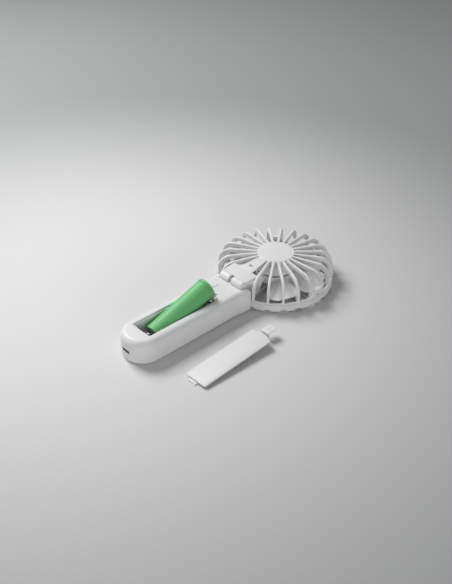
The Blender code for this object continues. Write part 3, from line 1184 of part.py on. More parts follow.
def make_impeller():
    """A hub cup that is open towards the motor, with its boss and blades."""
    bore = SHAFT_RADIUS + GAP
    floor = HUB_BOTTOM + HUB_WALL
    inside = HUB_RADIUS - HUB_WALL
    boss_top = HUB_TOP - HUB_WALL
    edge = HUB_EDGE_RADIUS
    profile = [(0, HUB_BOTTOM)] + arc((HUB_RADIUS - edge, HUB_BOTTOM + edge), edge, -90, 0, 3)
    profile += [(HUB_RADIUS, HUB_TOP), (inside, HUB_TOP), (inside, floor), (HUB_BOSS_RADIUS, floor),
                (HUB_BOSS_RADIUS, boss_top), (bore, boss_top), (bore, floor), (0, floor)]
    impeller = turned("impeller", profile, "pale_blades", steps=HUB_STEPS)
    combine(impeller, "UNION", repeat_round("join_blades", make_blade(), even_angles(BLADE_COUNT, 12)))
    shaft = rod("motor_shaft", SHAFT_RADIUS, (0, 0, floor + GAP), (0, 0, MOTOR_BOTTOM + SHAFT_IN_MOTOR),
                "plated_steel")
    return [impeller, shaft]


# Assembly


def pivot(name, place):
    empty = add_object(name, None)
    empty.location = place
    return empty


def world_matrix(obj):
    if obj.parent is None:
        return obj.matrix_basis.copy()
    return world_matrix(obj.parent) @ obj.matrix_parent_inverse @ obj.matrix_basis


def attach(child, parent):
    """Parents the child without moving it."""
    child.parent = parent
    child.matrix_parent_inverse = world_matrix(parent).inverted()


def make_handle():
    make_handle_body()
    make_front_panel()
    make_lamp_lens()
    make_power_button()
    make_boards()
    make_switch()
    make_charging_port()
    make_contact_spring()
    make_contact_plates()


def make_head():
    hinge = pivot("head_pivot", (0, HINGE_Y, HINGE_UP))
    rotor = pivot("rotor_pivot", (0, 0, HUB_BOTTOM))
    attach(rotor, hinge)
    cage = [make_rear_cage(), make_hinge_pin(), make_front_guard(), make_front_cap()]
    for piece in cage + make_motor_plate() + make_motor():
        attach(piece, hinge)
    for piece in make_impeller():
        attach(piece, rotor)


def main():
    for obj in list(bpy.data.objects):
        bpy.data.objects.remove(obj)
    make_handle()
    make_cell()
    make_door()
    make_head()


main()
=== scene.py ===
from math import acos, asin, atan2, cos, degrees, hypot, pi, radians, sin, sqrt, tan

import bmesh
import bpy
from mathutils import Matrix, Vector


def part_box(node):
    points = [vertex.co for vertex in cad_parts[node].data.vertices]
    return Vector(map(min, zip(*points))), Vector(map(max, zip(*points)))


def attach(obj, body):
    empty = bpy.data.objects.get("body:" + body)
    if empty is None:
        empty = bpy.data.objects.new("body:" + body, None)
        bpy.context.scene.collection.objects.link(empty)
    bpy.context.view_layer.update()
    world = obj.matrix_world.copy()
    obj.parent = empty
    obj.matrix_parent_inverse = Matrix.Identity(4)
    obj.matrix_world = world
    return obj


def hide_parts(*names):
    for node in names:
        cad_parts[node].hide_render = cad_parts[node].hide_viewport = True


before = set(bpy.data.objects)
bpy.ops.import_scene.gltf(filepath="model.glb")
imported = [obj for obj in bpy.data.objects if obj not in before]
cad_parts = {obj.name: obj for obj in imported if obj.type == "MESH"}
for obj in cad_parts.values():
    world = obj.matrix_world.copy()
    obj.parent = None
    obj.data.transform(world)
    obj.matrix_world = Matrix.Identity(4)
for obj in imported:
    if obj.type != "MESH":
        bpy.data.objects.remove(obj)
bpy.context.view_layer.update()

mm = 0.001  # shapes are drawn in millimetres and made metres when they are finished


# Node helpers, for shaders and for Geometry Nodes


def addNode(tree, kind, settings, values):
    node = tree.nodes.new(kind)
    for key, value in settings.items():
        setattr(node, key, value)
    for key, value in values.items():
        if isinstance(value, Wire):
            tree.links.new(value.socket, node.inputs[key])
        else:
            node.inputs[key].default_value = value
    return node


class Wire:  # a socket that can be reckoned with
    def __init__(self, tree, socket):
        self.tree = tree
        self.socket = socket

    def math(self, operation, first, second):
        node = addNode(self.tree, "ShaderNodeMath", {"operation": operation}, {0: first, 1: second})
        return Wire(self.tree, node.outputs[0])

    def __add__(self, other):
        return self.math("ADD", self, other)

    __radd__ = __add__

    def __sub__(self, other):
        return self.math("SUBTRACT", self, other)

    def __rsub__(self, other):
        return self.math("SUBTRACT", other, self)

    def __mul__(self, other):
        return self.math("MULTIPLY", self, other)

    def __truediv__(self, other):
        return self.math("DIVIDE", self, other)


class Maker:  # adds nodes to one tree and hands back their outputs as wires
    def __init__(self, tree):
        self.tree = tree

    def node(self, kind, settings=None, values=None, output=0):
        node = addNode(self.tree, kind, settings or {}, values or {})
        return Wire(self.tree, node.outputs[output])


# Finishes


class Finish(Maker):
    def __init__(self, name):
        self.material = bpy.data.materials.new(name)
        self.material.use_nodes = True
        super().__init__(self.material.node_tree)
        self.shader = self.tree.nodes["Principled BSDF"]
        self.place = self.node("ShaderNodeTexCoord", output="Object")

    def noise(self, size, detail=2.0, roughness=0.5, stretch=None):  # size in millimetres
        place = self.place
        if stretch:
            place = self.node("ShaderNodeMapping", values={"Vector": place, "Scale": stretch})
        values = {"Vector": place, "Scale": 1 / (size * mm), "Detail": detail, "Roughness": roughness}
        return self.node("ShaderNodeTexNoise", values=values)

    def mix(self, factor, first, second):
        settings = {"data_type": "RGBA"}
        values = {0: factor, 6: (*first, 1.0), 7: (*second, 1.0)}  # inputs 6 and 7 are the colours
        return self.node("ShaderNodeMix", settings, values, output=2)

    def bump(self, height, strength, depth):  # depth in millimetres
        values = {"Height": height, "Strength": strength, "Distance": depth * mm}
        return self.node("ShaderNodeBump", values=values)

    def done(self, **sockets):
        for label, value in sockets.items():
            socket = self.shader.inputs[label.replace("_", " ")]
            if isinstance(value, Wire):
                self.tree.links.new(value.socket, socket)
            else:
                socket.default_value = value
        return self.material


def shade(colour, share):
    return tuple(channel * share for channel in colour)


plasticLook = {
    "tone": 0.965,  # of the darker patches
    "patch": 45.0,  # mm across a patch of tone
    "grain": 0.55,  # mm across the moulded grain
    "grainDepth": 0.012,
    "grainChange": 0.10,  # of the roughness
    "flow": 9.0,  # mm across a flow mark
    "flowChange": 0.06,
}


def mouldedPlastic(name, colour, roughness, grainStrength=0.35):
    finish = Finish(name)
    cloud = finish.noise(plasticLook["patch"], detail=3.0)
    speck = finish.noise(plasticLook["grain"], detail=3.0, roughness=0.6)
    flow = finish.noise(plasticLook["flow"])
    return finish.done(
        Base_Color=finish.mix(cloud * 0.8 + speck * 0.2, shade(colour, plasticLook["tone"]), colour),
        Roughness=(roughness + (speck - 0.5) * plasticLook["grainChange"]
                   + (flow - 0.5) * plasticLook["flowChange"]),
        Normal=finish.bump(speck, grainStrength, plasticLook["grainDepth"]),
        IOR=1.48,
    )


sleeveLook = {
    "colour": (0.155, 0.520, 0.195),
    "dark": (0.120, 0.450, 0.155),
    "patch": 14.0,  # mm across a patch of tone
    "wrinkle": 5.0,  # mm across
    "wrinkleDepth": 0.05, "grain": 0.5, "roughness": 0.54, "coat": 0.05,
}


def shrunkSleeve(name):
    finish = Finish(name)
    cloud = finish.noise(sleeveLook["patch"], detail=3.0)
    wrinkle = finish.noise(sleeveLook["wrinkle"])
    fine = finish.noise(sleeveLook["grain"])
    return finish.done(
        Base_Color=finish.mix(cloud, sleeveLook["dark"], sleeveLook["colour"]),
        Roughness=sleeveLook["roughness"] + (wrinkle - 0.5) * 0.12 + (fine - 0.5) * 0.05,
        Normal=finish.bump(wrinkle, 0.3, sleeveLook["wrinkleDepth"]),
        Coat_Weight=sleeveLook["coat"],
        IOR=1.5,
    )


metalLook = {"brush": 0.8, "brushDepth": 0.01, "stain": 6.0, "stained": 0.86}  # sizes in mm, and a tone


def plated(name, colour, roughness, stretch=(1.0, 1.0, 6.0)):
    finish = Finish(name)
    brush = finish.noise(metalLook["brush"], detail=4.0, roughness=0.65, stretch=stretch)
    stain = finish.noise(metalLook["stain"], detail=3.0)
    return finish.done(
        Base_Color=finish.mix(stain, shade(colour, metalLook["stained"]), colour),
        Metallic=1.0,
        Roughness=roughness + (brush - 0.5) * 0.14 + (stain - 0.5) * 0.08,
        Normal=finish.bump(brush, 0.25, metalLook["brushDepth"]),
    )


paperLook = {"fibre": 0.35, "fibreDepth": 0.03, "tone": 0.88, "roughness": 0.85}


def paper(name, colour):
    finish = Finish(name)
    fibre = finish.noise(paperLook["fibre"], detail=4.0, roughness=0.7)
    return finish.done(
        Base_Color=finish.mix(fibre, shade(colour, paperLook["tone"]), colour),
        Roughness=paperLook["roughness"] + (fibre - 0.5) * 0.1,
        Normal=finish.bump(fibre, 0.4, paperLook["fibreDepth"]),
    )


boardLook = {
    "lacquer": (0.020, 0.130, 0.065),
    "track": (0.045, 0.230, 0.110),
    "tracks": 420.0,  # in a metre
    "trackFrom": 0.62, "weave": 0.4, "weaveDepth": 0.03, "roughness": 0.38,
}


def circuitBoard(name):
    finish = Finish(name)
    settings = {"distance": "MANHATTAN", "feature": "F1"}
    values = {"Vector": finish.place, "Scale": boardLook["tracks"]}
    track = finish.node("ShaderNodeTexVoronoi", settings, values, output="Distance")
    values = {0: track, 1: boardLook["trackFrom"]}
    copper = finish.node("ShaderNodeMath", {"operation": "GREATER_THAN"}, values)
    weave = finish.noise(boardLook["weave"])
    return finish.done(
        Base_Color=finish.mix(copper, boardLook["lacquer"], boardLook["track"]),
        Roughness=boardLook["roughness"] + (weave - 0.5) * 0.12,
        Normal=finish.bump(copper * 0.7 + weave * 0.3, 0.3, boardLook["weaveDepth"]),
    )


lensLook = {
    "hazy": (0.70, 0.72, 0.74),
    "clear": (0.80, 0.82, 0.84),
    "haze": 0.3, "hazeDepth": 0.01, "roughness": 0.5, "transmission": 0.35,
}


def frostedLens(name):
    finish = Finish(name)
    haze = finish.noise(lensLook["haze"], detail=3.0)
    return finish.done(
        Base_Color=finish.mix(haze, lensLook["hazy"], lensLook["clear"]),
        Roughness=lensLook["roughness"] + (haze - 0.5) * 0.15,
        Normal=finish.bump(haze, 0.2, lensLook["hazeDepth"]),
        Transmission_Weight=lensLook["transmission"],
        IOR=1.49,
    )


white = (0.760, 0.765, 0.765)
whiteShell = mouldedPlastic("whiteShell", white, 0.46)
whiteCage = mouldedPlastic("whiteCage", white, 0.44, 0.25)
whiteDoor = mouldedPlastic("whiteDoor", white, 0.46)
whiteSmooth = mouldedPlastic("whiteSmooth", white, 0.33, 0.10)
paleBlades = mouldedPlastic("paleBlades", (0.800, 0.805, 0.805), 0.36, 0.12)
greyPlastic = mouldedPlastic("greyPlastic", (0.420, 0.420, 0.420), 0.45)
# the motor plate's near-black tone is painted shade: it darkens the ring of shadow in the gap between the pod
# and the impeller hub
darkPlate = mouldedPlastic("darkPlate", (0.075, 0.075, 0.078), 0.50)
blackPlastic = mouldedPlastic("blackPlastic", (0.022, 0.022, 0.024), 0.48)
greenSleeve = shrunkSleeve("greenSleeve")
nickel = plated("nickel", (0.66, 0.65, 0.61), 0.27)
springWire = plated("springWire", (0.60, 0.60, 0.59), 0.30, (1.0, 6.0, 1.0))
drawnSteel = plated("drawnSteel", (0.52, 0.52, 0.53), 0.36)
bronze = plated("bronze", (0.55, 0.38, 0.18), 0.42)
washerPaper = paper("washerPaper", (0.72, 0.72, 0.69))
boardGreen = circuitBoard("boardGreen")
lensFrost = frostedLens("lensFrost")
print("finishes made")


# Shape helpers


def arc(centre, radius, start, end, steps):
    angles = [radians(start + (end - start) * i / steps) for i in range(steps + 1)]
    return [(centre[0] + radius * cos(a), centre[1] + radius * sin(a)) for a in angles]


def roundedBox(left, low, right, high, radius, steps=8):
    return (arc((right - radius, low + radius), radius, -90, 0, steps)
            + arc((right - radius, high - radius), radius, 0, 90, steps)
            + arc((left + radius, high - radius), radius, 90, 180, steps)
            + arc((left + radius, low + radius), radius, 180, 270, steps))


def grown(outline, margin):  # each side moved out, on an outline that runs anticlockwise
    result = []
    for i, point in enumerate(outline):
        here = Vector(point)
        before = (here - Vector(outline[i - 1])).normalized()
        after = (Vector(outline[(i + 1) % len(outline)]) - here).normalized()
        normal = Vector((after.y, -after.x))
        mitre = (Vector((before.y, -before.x)) + normal).normalized()
        result.append(tuple(here + mitre * margin / max(mitre.dot(normal), 0.35)))
    return result


def loft(rings, hoop=False):  # rings of equally many points, closed at both ends or back to the first ring
    bm = bmesh.new()
    loops = [[bm.verts.new(point) for point in ring] for ring in rings]
    for lower, upper in zip(loops, loops[1:] + loops[:1] if hoop else loops[1:]):
        for i in range(len(lower)):
            j = (i + 1) % len(lower)
            bm.faces.new((lower[i], lower[j], upper[j], upper[i]))
    if not hoop:
        bm.faces.new(reversed(loops[0]))
        bm.faces.new(loops[-1])
    return bm


def slab(outline, low, high, edge, steps=3):  # an extrusion with both its rims rounded
    turns = [radians(90 * i / steps) for i in range(steps + 1)]
    levels = [(low + edge * (1 - cos(t)), edge * (sin(t) - 1)) for t in turns]
    levels += [(high - edge * (1 - cos(t)), edge * (sin(t) - 1)) for t in reversed(turns)]
    return loft([[(x, y, z) for x, y in grown(outline, margin)] for z, margin in levels])


def spun(profile, steps=96):  # a closed (radius, height) profile turned round Z
    bm = bmesh.new()
    points = [bm.verts.new((radius, 0, height)) for radius, height in profile]
    edges = [bm.edges.new(pair) for pair in zip(points, points[1:] + points[:1])]
    bmesh.ops.spin(bm, geom=points + edges, axis=(0, 0, 1), cent=(0, 0, 0), steps=steps,
                   angle=2 * pi, use_merge=True)
    bmesh.ops.remove_doubles(bm, verts=bm.verts, dist=1e-4)
    bmesh.ops.dissolve_degenerate(bm, edges=bm.edges, dist=1e-5)
    return bm


def column(outline, low, high):  # an outline drawn out straight between two heights
    return loft([[(x, y, z) for x, y in outline] for z in (low, high)])


def cuboid(low, high):
    outline = [(low[0], low[1]), (high[0], low[1]), (high[0], high[1]), (low[0], high[1])]
    return column(outline, low[2], high[2])


alongX = Matrix(((0, 0, 1, 0), (1, 0, 0, 0), (0, 1, 0, 0), (0, 0, 0, 1)))  # drawn (y, z), drawn out in x
alongY = Matrix(((1, 0, 0, 0), (0, 0, 1, 0), (0, 1, 0, 0), (0, 0, 0, 1)))  # drawn (x, z), drawn out in y


def turnedBy(bm, matrix):
    bm.transform(matrix)
    return bm


def bar(radius, start, end, edge=0.1, steps=48):  # a round bar between two points
    start, end = Vector(start), Vector(end)
    length = (end - start).length
    outline = [(0, 0)] + arc((radius - edge, edge), edge, -90, 0, 4)
    outline += arc((radius - edge, length - edge), edge, 0, 90, 4) + [(0, length)]
    turn = (end - start).to_track_quat("Z", "Y").to_matrix().to_4x4()
    return turnedBy(spun(outline, steps), Matrix.Translation(start) @ turn)


def toMesh(bm, name):
    bm.normal_update()
    bmesh.ops.recalc_face_normals(bm, faces=bm.faces)
    mesh = bpy.data.meshes.new(name)
    bm.to_mesh(mesh)
    bm.free()
    return mesh


def placed(name, data):
    obj = bpy.data.objects.new(name, data)
    bpy.context.scene.collection.objects.link(obj)
    return obj


def helper(name, bm):
    return placed(name, toMesh(bm, name))


def evaluated(obj):  # the mesh that the object's modifiers make; the object goes
    graph = bpy.context.evaluated_depsgraph_get()
    mesh = bpy.data.meshes.new_from_object(obj.evaluated_get(graph))
    bpy.data.objects.remove(obj)
    return mesh


def combine(obj, operation, tool):
    modifier = obj.modifiers.new(tool.name, "BOOLEAN")
    modifier.operation = operation
    modifier.solver = "EXACT"
    modifier.object = tool


def soften(obj, width):  # rounds the edges that turn by more than 50 degrees
    modifier = obj.modifiers.new("soften", "BEVEL")
    modifier.width = width
    modifier.segments = 2
    modifier.limit_method = "ANGLE"
    modifier.angle_limit = radians(50)


def carved(bm, cutters, joined=()):
    obj = helper("carved", bm)
    tools = []
    for operation, shapes in (("UNION", joined), ("DIFFERENCE", cutters)):
        for shape in shapes:
            tools.append(shape if isinstance(shape, bpy.types.Object) else helper("tool", shape))
            combine(obj, operation, tools[-1])
    mesh = evaluated(obj)
    for tool in tools:
        bpy.data.objects.remove(tool)
    return mesh


def finished(name, shape, material, body, nodes, sharp=32):
    mesh = shape if isinstance(shape, bpy.types.Mesh) else toMesh(shape, name)
    mesh.name = name
    mesh.transform(Matrix.Scale(mm, 4))
    mesh.materials.clear()
    mesh.materials.append(material)
    mesh.shade_smooth()
    mesh.set_sharp_from_angle(angle=radians(sharp))
    obj = placed(name, mesh)
    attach(obj, body)
    if nodes:
        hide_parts(*nodes)


def middleOf(node):  # of a CAD piece, in metres
    low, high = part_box(node)
    return (Vector(low) + Vector(high)) / 2


# Geometry Nodes: copies round the fan's axis, a bar swept along a path, and a conical spring


class GeoMaker(Maker):
    def __init__(self, name, inputs):
        super().__init__(bpy.data.node_groups.new(name, "GeometryNodeTree"))
        face = self.tree.interface
        face.new_socket("Geometry", in_out="INPUT", socket_type="NodeSocketGeometry")
        for label, kind in {**inputs, "Material": "Material"}.items():
            face.new_socket(label, in_out="INPUT", socket_type="NodeSocket" + kind)
        face.new_socket("Geometry", in_out="OUTPUT", socket_type="NodeSocketGeometry")
        self.given = self.tree.nodes.new("NodeGroupInput")

    def take(self, label):
        return Wire(self.tree, self.given.outputs[label])

    def sweep(self, path, section):
        values = {"Curve": path, "Profile Curve": section, "Fill Caps": True}
        return self.give(self.node("GeometryNodeCurveToMesh", values=values))

    def give(self, wire):  # every tree ends as plain geometry in one material
        real = self.node("GeometryNodeRealizeInstances", values={"Geometry": wire})
        values = {"Geometry": real, "Material": self.take("Material")}
        coated = self.node("GeometryNodeSetMaterial", values=values)
        output = self.tree.nodes.new("NodeGroupOutput")
        self.tree.links.new(coated.socket, output.inputs[0])
        return self.tree


def copiesRoundTree():
    geo = GeoMaker("copiesRound", {"Count": "Int", "Places": "Int", "First Angle": "Float"})
    index = geo.node("GeometryNodeInputIndex")
    angle = geo.take("First Angle") + index * (2 * pi) / geo.take("Places")
    turn = geo.node("ShaderNodeCombineXYZ", values={"Z": angle})
    rotation = geo.node("FunctionNodeEulerToRotation", values={0: turn})
    points = geo.node("GeometryNodePoints", values={"Count": geo.take("Count")})
    values = {"Points": points, "Instance": geo.take("Geometry"), "Rotation": rotation}
    return geo.give(geo.node("GeometryNodeInstanceOnPoints", values=values))


def sweptBarTree():
    sizes = {"Width": "Float", "Depth": "Float", "Edge": "Float", "Inner Share": "Float"}
    geo = GeoMaker("sweptBar", sizes)
    path = geo.node("GeometryNodeMeshToCurve", values={"Mesh": geo.take("Geometry")})
    along = geo.node("GeometryNodeSplineParameter")
    share = geo.take("Inner Share")
    values = {"Curve": path, "Radius": share + (1 - share) * along}
    path = geo.node("GeometryNodeSetCurveRadius", values=values)
    values = {"Width": geo.take("Width"), "Height": geo.take("Depth")}
    section = geo.node("GeometryNodeCurvePrimitiveQuadrilateral", {"mode": "RECTANGLE"}, values)
    values = {"Curve": section, "Radius": geo.take("Edge"), "Count": 4}
    section = geo.node("GeometryNodeFilletCurve", {"mode": "POLY"}, values)
    inward = geo.node("ShaderNodeCombineXYZ", values={"Y": geo.take("Depth") / 2})
    section = geo.node("GeometryNodeTransform", values={"Geometry": section, "Translation": inward})
    return geo.sweep(path, section)


def springTree():
    sizes = {"Turns": "Float", "Wide": "Float", "Narrow": "Float", "Length": "Float", "Wire": "Float"}
    geo = GeoMaker("conicalSpring", sizes)
    values = {"Resolution": 40, "Rotations": geo.take("Turns"), "Start Radius": geo.take("Wide"),
              "End Radius": geo.take("Narrow"), "Height": geo.take("Length")}
    path = geo.node("GeometryNodeCurveSpiral", values=values)
    values = {"Resolution": 14, "Radius": geo.take("Wire") / 2}
    section = geo.node("GeometryNodeCurvePrimitiveCircle", values=values)
    return geo.sweep(path, section)


copiesRound = copiesRoundTree()
sweptBar = sweptBarTree()
conicalSpring = springTree()


def runTree(obj, tree, inputs):
    modifier = obj.modifiers.new(tree.name, "NODES")
    modifier.node_group = tree
    for item in tree.interface.items_tree:
        if item.in_out == "INPUT" and item.name in inputs:
            modifier[item.identifier] = inputs[item.name]


def roundCopies(bm, count, first, material):  # as one helper object
    obj = helper("copied", bm)
    inputs = {"Count": count, "Places": count, "First Angle": radians(first), "Material": material}
    runTree(obj, copiesRound, inputs)
    return placed("copies", evaluated(obj))


# Handle

handle = {
    "halfWidth": 18.8, "thickness": 23.0, "tip": -174.75,
    "endRadius": 54.6,  # of the hollow end that follows the head
    "corner": 0.6,
    "flare": 1.4,  # how much wider each side is at the hollow end
    "flareLength": 18.0, "backRound": 5.5, "frontRound": 2.8, "endBackRound": 2.2,
    "endFrontRound": 2.0, "panelBorder": 4.6, "panelTop": 1.7,
    "panelSeat": 2.0,  # depth of the opening for the panel
    "panelRoom": 0.3,  # seam round the panel
    "roomHalf": 15.4,  # of the room near the hinge
    "roomLow": -82.0, "roomHigh": -60.5,
    "tipRoom": 17.0,  # radius of the room in the tip
    "roomTop": 12.5,  # of both rooms, which hold the boards
}
bay = {
    "halfWidth": 9.95, "tip": -156.7, "head": -84.3, "ledge": 21.6,
    "halfOpening": 11.15, "openingTip": -158.0, "openingHead": -82.2,
    "openingCorner": 2.4,
    "bow": 2.4,  # how far the end towards the head bows out
    "shoulder": 2.4,  # beside the bow
    "shoulderCut": 0.8,  # chamfer of the shoulder's corner
    "rim": 0.35,  # chamfer round the opening
    "tongueSlot": ((-7.0, -161.0, 19.8), (2.6, -156.2, 21.8)),
}
latch = {
    "offset": 0.1, "width": 8.4,
    "room": 1.0,  # on each side of it in its pocket
    "pocketFloor": 14.5, "pocketEnd": -77.6,
    "shelf": 22.4,  # floor of the notch for the thumb tab
    "notchEnd": -67.2, "notchCorner": 0.8, "notchRim": 0.5,
    "barbSlot": (19.0, 20.8),  # its lower and upper height
    "depth": 7.5,
    "strip": 1.1,  # thickness of the bent strip
    "inset": 0.15,  # of the strip from the plate's end
    "root": -0.7,
    "bend": 5.0,  # how far it reaches past the plate
    "edge": 0.15, "barb": 0.9, "barbDepth": 2.5, "tabLength": 11.0, "tabRise": 0.9,
    "tabCorner": 2.0,
    "dimple": [(0, -0.45), (0.45, -0.38), (0.75, 0), (0.95, 0.3), (0, 0.3)],  # two of them, on the tab
    "dimpleStep": 1.2,  # from the tab's middle to each
}
hinge = {
    "y": -54.0, "up": 23.5, "barrel": 4.7, "halfLength": 14.0, "notch": 4.4,
    "notchOffset": -0.7, "edge": 1.4,
    "gap": 0.4,  # round the barrel and round the lug
    "lug": 2.6,
    "lugPlay": 0.5,  # on each side of the lug in the notch
    "lugFoot": [(-59.7, 22.4), (-59.7, 18.0), (-56.2, 17.4)],
    "pin": 1.1, "pinRoom": 0.3,
    "boreStop": 2.0,  # wall left at the end of the bore
    "leafCorner": 15.0, "leafLength": 15.8, "leafThickness": 2.5, "leafSlope": 0.035,
    "slopeFrom": 2.75, "soften": 0.2,
}
port = {
    "up": 10.3, "width": 8.9, "height": 3.2, "depth": 7.3, "shell": 0.3, "recess": 0.6,
    "room": 0.3,  # round the shell
    "flare": 1.35,  # of the opening, at the handle's face
    "lip": 0.12,
    "base": 1.8,  # thickness of the block behind the tongue
    "tongueHalf": 3.3,
    "tongue": 0.35,  # half its thickness
    "pads": 6, "padFrom": -2.6, "padPitch": 0.95, "padWidth": 0.4, "padRise": 0.03,
}


def handleOutline(sideInset, endInset, steps=40):
    half = handle["halfWidth"] - sideInset
    hollow = handle["endRadius"] + endInset
    corner = handle["corner"]
    cornerX = half + handle["flare"] - corner
    cornerY = -sqrt((hollow + corner) ** 2 - cornerX ** 2)
    outward = degrees(atan2(cornerY, cornerX))
    tipCentre = (0, handle["tip"] + handle["halfWidth"])
    flare = []
    for share in [i / 20 for i in range(20)]:
        out = handle["flare"] * share ** 2 * (3 - 2 * share)
        flare.append((half + out, cornerY - handle["flareLength"] * (1 - share)))
    right = arc(tipCentre, half, -90, 0, steps) + flare + arc((cornerX, cornerY), corner, 0, outward + 180, 8)
    hollowEnd = arc((0, 0), hollow, outward, -180 - outward, 40)[1:-1]
    return right + hollowEnd + [(-x, y) for x, y in reversed(right)][:-1]


def edgeInset(z, low, high, lowRound, highRound):
    below, above = low + lowRound - z, z - high + highRound
    if below > 0:
        return lowRound - sqrt(max(lowRound ** 2 - below ** 2, 0))
    if above > 0:
        return highRound - sqrt(max(highRound ** 2 - above ** 2, 0))
    return 0


def handleRings(steps=12):
    top = handle["thickness"]
    turns = [sin(radians(90 * i / steps)) for i in range(steps + 1)]
    heights = [handle["frontRound"] * (1 - turn) for turn in reversed(turns)]
    heights += [top - handle["backRound"] * (1 - turn) for turn in turns]
    rings = []
    for z in heights:
        side = edgeInset(z, 0, top, handle["frontRound"], handle["backRound"])
        end = edgeInset(z, 0, top, handle["endFrontRound"], handle["endBackRound"])
        rings.append([(x, y, z) for x, y in handleOutline(side, end)])
    return rings


def flaredCut(outline, low, surface, rim, clear=0.8):  # a cut whose edge at the surface is chamfered
    levels = [(low, 0), (surface - rim, 0), (surface, rim), (surface + clear, rim + clear)]
    return loft([[(x, y, z) for x, y in grown(outline, margin)] for z, margin in levels])


def portOutline(margin):
    radius = port["height"] / 2 + margin
    side = (port["width"] - port["height"]) / 2
    return arc((side, port["up"]), radius, -90, 90, 16) + arc((-side, port["up"]), radius, 90, 270, 16)


def bowedBox(half, low, high, corner):  # the end towards the head bows out between two shoulders
    rise, reach, cut = bay["bow"], half - bay["shoulder"], bay["shoulderCut"]
    radius = (reach ** 2 + rise ** 2) / (2 * rise)
    angle = degrees(asin(reach / radius))
    outline = arc((-half + corner, low + corner), corner, 180, 270, 8)
    outline += arc((half - corner, low + corner), corner, 270, 360, 8)
    outline += [(half, high - cut), (half - cut, high)]
    outline += arc((0, high + rise - radius), radius, 90 - angle, 90 + angle, 24)
    return outline + [(-half + cut, high), (-half, high - cut)]


def latchSide():
    return latch["offset"] - latch["width"] / 2, latch["offset"] + latch["width"] / 2


def handleCuts():
    top, mouth = handle["thickness"], handle["tip"]
    left, right = latchSide()
    left, right = left - latch["room"], right + latch["room"]
    opening = bowedBox(bay["halfOpening"], bay["openingTip"], bay["openingHead"], bay["openingCorner"])
    notch = roundedBox(left, bay["head"] - 1, right, latch["notchEnd"], latch["notchCorner"])
    panel = handleOutline(handle["panelBorder"], handle["panelBorder"])
    tipRoom = arc((0, handle["tip"] + handle["halfWidth"]), handle["tipRoom"], -189, 9, 32)
    mouthRings = [(mouth - 1, port["flare"]), (mouth + 0.35, port["room"]), (mouth + 4, port["room"])]
    reach, seatHalf = hinge["barrel"] + hinge["gap"], hinge["halfLength"] + hinge["gap"]
    axis = (hinge["y"], hinge["up"])
    pocketEnd, (slotLow, slotHigh) = latch["pocketEnd"], latch["barbSlot"]
    return [
        cuboid((-bay["halfWidth"], bay["tip"], 1), (bay["halfWidth"], bay["head"], top + 1)),
        flaredCut(opening, bay["ledge"], top, bay["rim"]),
        flaredCut(notch, latch["shelf"], top, latch["notchRim"]),
        cuboid((left, bay["head"] - 1, latch["pocketFloor"]), (right, pocketEnd, top + 1)),
        cuboid((left, pocketEnd - 1, slotLow), (right, pocketEnd + latch["barb"], slotHigh)),
        cuboid(*bay["tongueSlot"]),
        column(panel, -1, handle["panelSeat"]),
        cuboid((-handle["roomHalf"], handle["roomLow"], 1),
               (handle["roomHalf"], handle["roomHigh"], handle["roomTop"])),
        column(tipRoom, 1, handle["roomTop"]),
        loft([[(x, y, z) for x, z in portOutline(margin)] for y, margin in mouthRings]),
        bar(reach, (-seatHalf, *axis), (seatHalf, *axis), steps=96),
        bar(hinge["pin"] + hinge["pinRoom"], (-20, *axis), (-seatHalf + 1, *axis)),
    ]


def makeHandle():
    shell = carved(loft(handleRings()), handleCuts())
    finished("handleShell", shell, whiteShell, "handle", ["handle_body"], sharp=28)

    half = hinge["notch"] / 2 - hinge["lugPlay"]
    centre = (hinge["y"], hinge["up"])
    knuckle = arc(centre, hinge["lug"], -70, 188, 40) + hinge["lugFoot"]
    pinHole = bar(hinge["pin"] + hinge["pinRoom"], (-4, *centre), (4, *centre))
    offset = hinge["notchOffset"]
    lug = carved(turnedBy(slab(knuckle, offset - half, offset + half, 0.25), alongX), [pinHole])
    finished("hingeLug", lug, whiteShell, "handle", ())


powerButton = {
    "radius": 5.2,
    "room": 0.3,  # round it in the panel
    "dish": [(0, 0.7), (2.6, 0.62), (4.3, 0.46)],  # its hollow face, as (radius, height)
    "edge": 0.3,
    "flange": [(5.2, 2.0), (6.4, 2.0), (6.4, 2.6), (0, 2.6)],
    "chamfer": [(0, -0.5), (6.0, -0.5), (5.2, 0.4), (0, 0.4)],  # round its hole
}
chargeLamp = {"half": 3.5, "rise": 1.0, "corner": 0.9, "room": 0.3}


def makePanel():
    border = handle["panelBorder"] + handle["panelRoom"]
    panel = slab(handleOutline(border, border), 0, handle["panelTop"], 0.25)
    buttonUp = middleOf("power_button").y / mm
    toButton = Matrix.Translation((0, buttonUp, 0))
    hole = flaredCut(arc((0, buttonUp), powerButton["radius"] + powerButton["room"], 0, 354, 59), -1, 5, 0.1)
    chamfer = turnedBy(spun(powerButton["chamfer"]), toButton)
    cuts = [hole, chamfer, column(lampOutline(chargeLamp["room"]), -1, 5)]
    finished("frontPanel", carved(panel, cuts), whiteShell, "handle", ["front_panel"])

    levels = ((0, -0.2), (0.2, 0), (2.0, 0), (2.0, 0.8), (2.8, 0.8))
    lens = loft([[(x, y, z) for x, y in lampOutline(margin)] for z, margin in levels])
    finished("lampLens", lens, lensFrost, "handle", ["lamp_lens"])

    corner = (powerButton["radius"] - powerButton["edge"], 0.7)
    cap = powerButton["dish"] + arc(corner, powerButton["edge"], -90, 0, 4) + powerButton["flange"]
    cap = turnedBy(spun(cap), toButton)
    finished("powerButton", cap, whiteSmooth, "button", ["power_button"])


def lampOutline(margin):
    half, rise = chargeLamp["half"] + margin, chargeLamp["rise"] + margin
    middle = middleOf("lamp_lens").y / mm
    return roundedBox(-half, middle - rise, half, middle + rise, chargeLamp["corner"] + margin * 0.9)


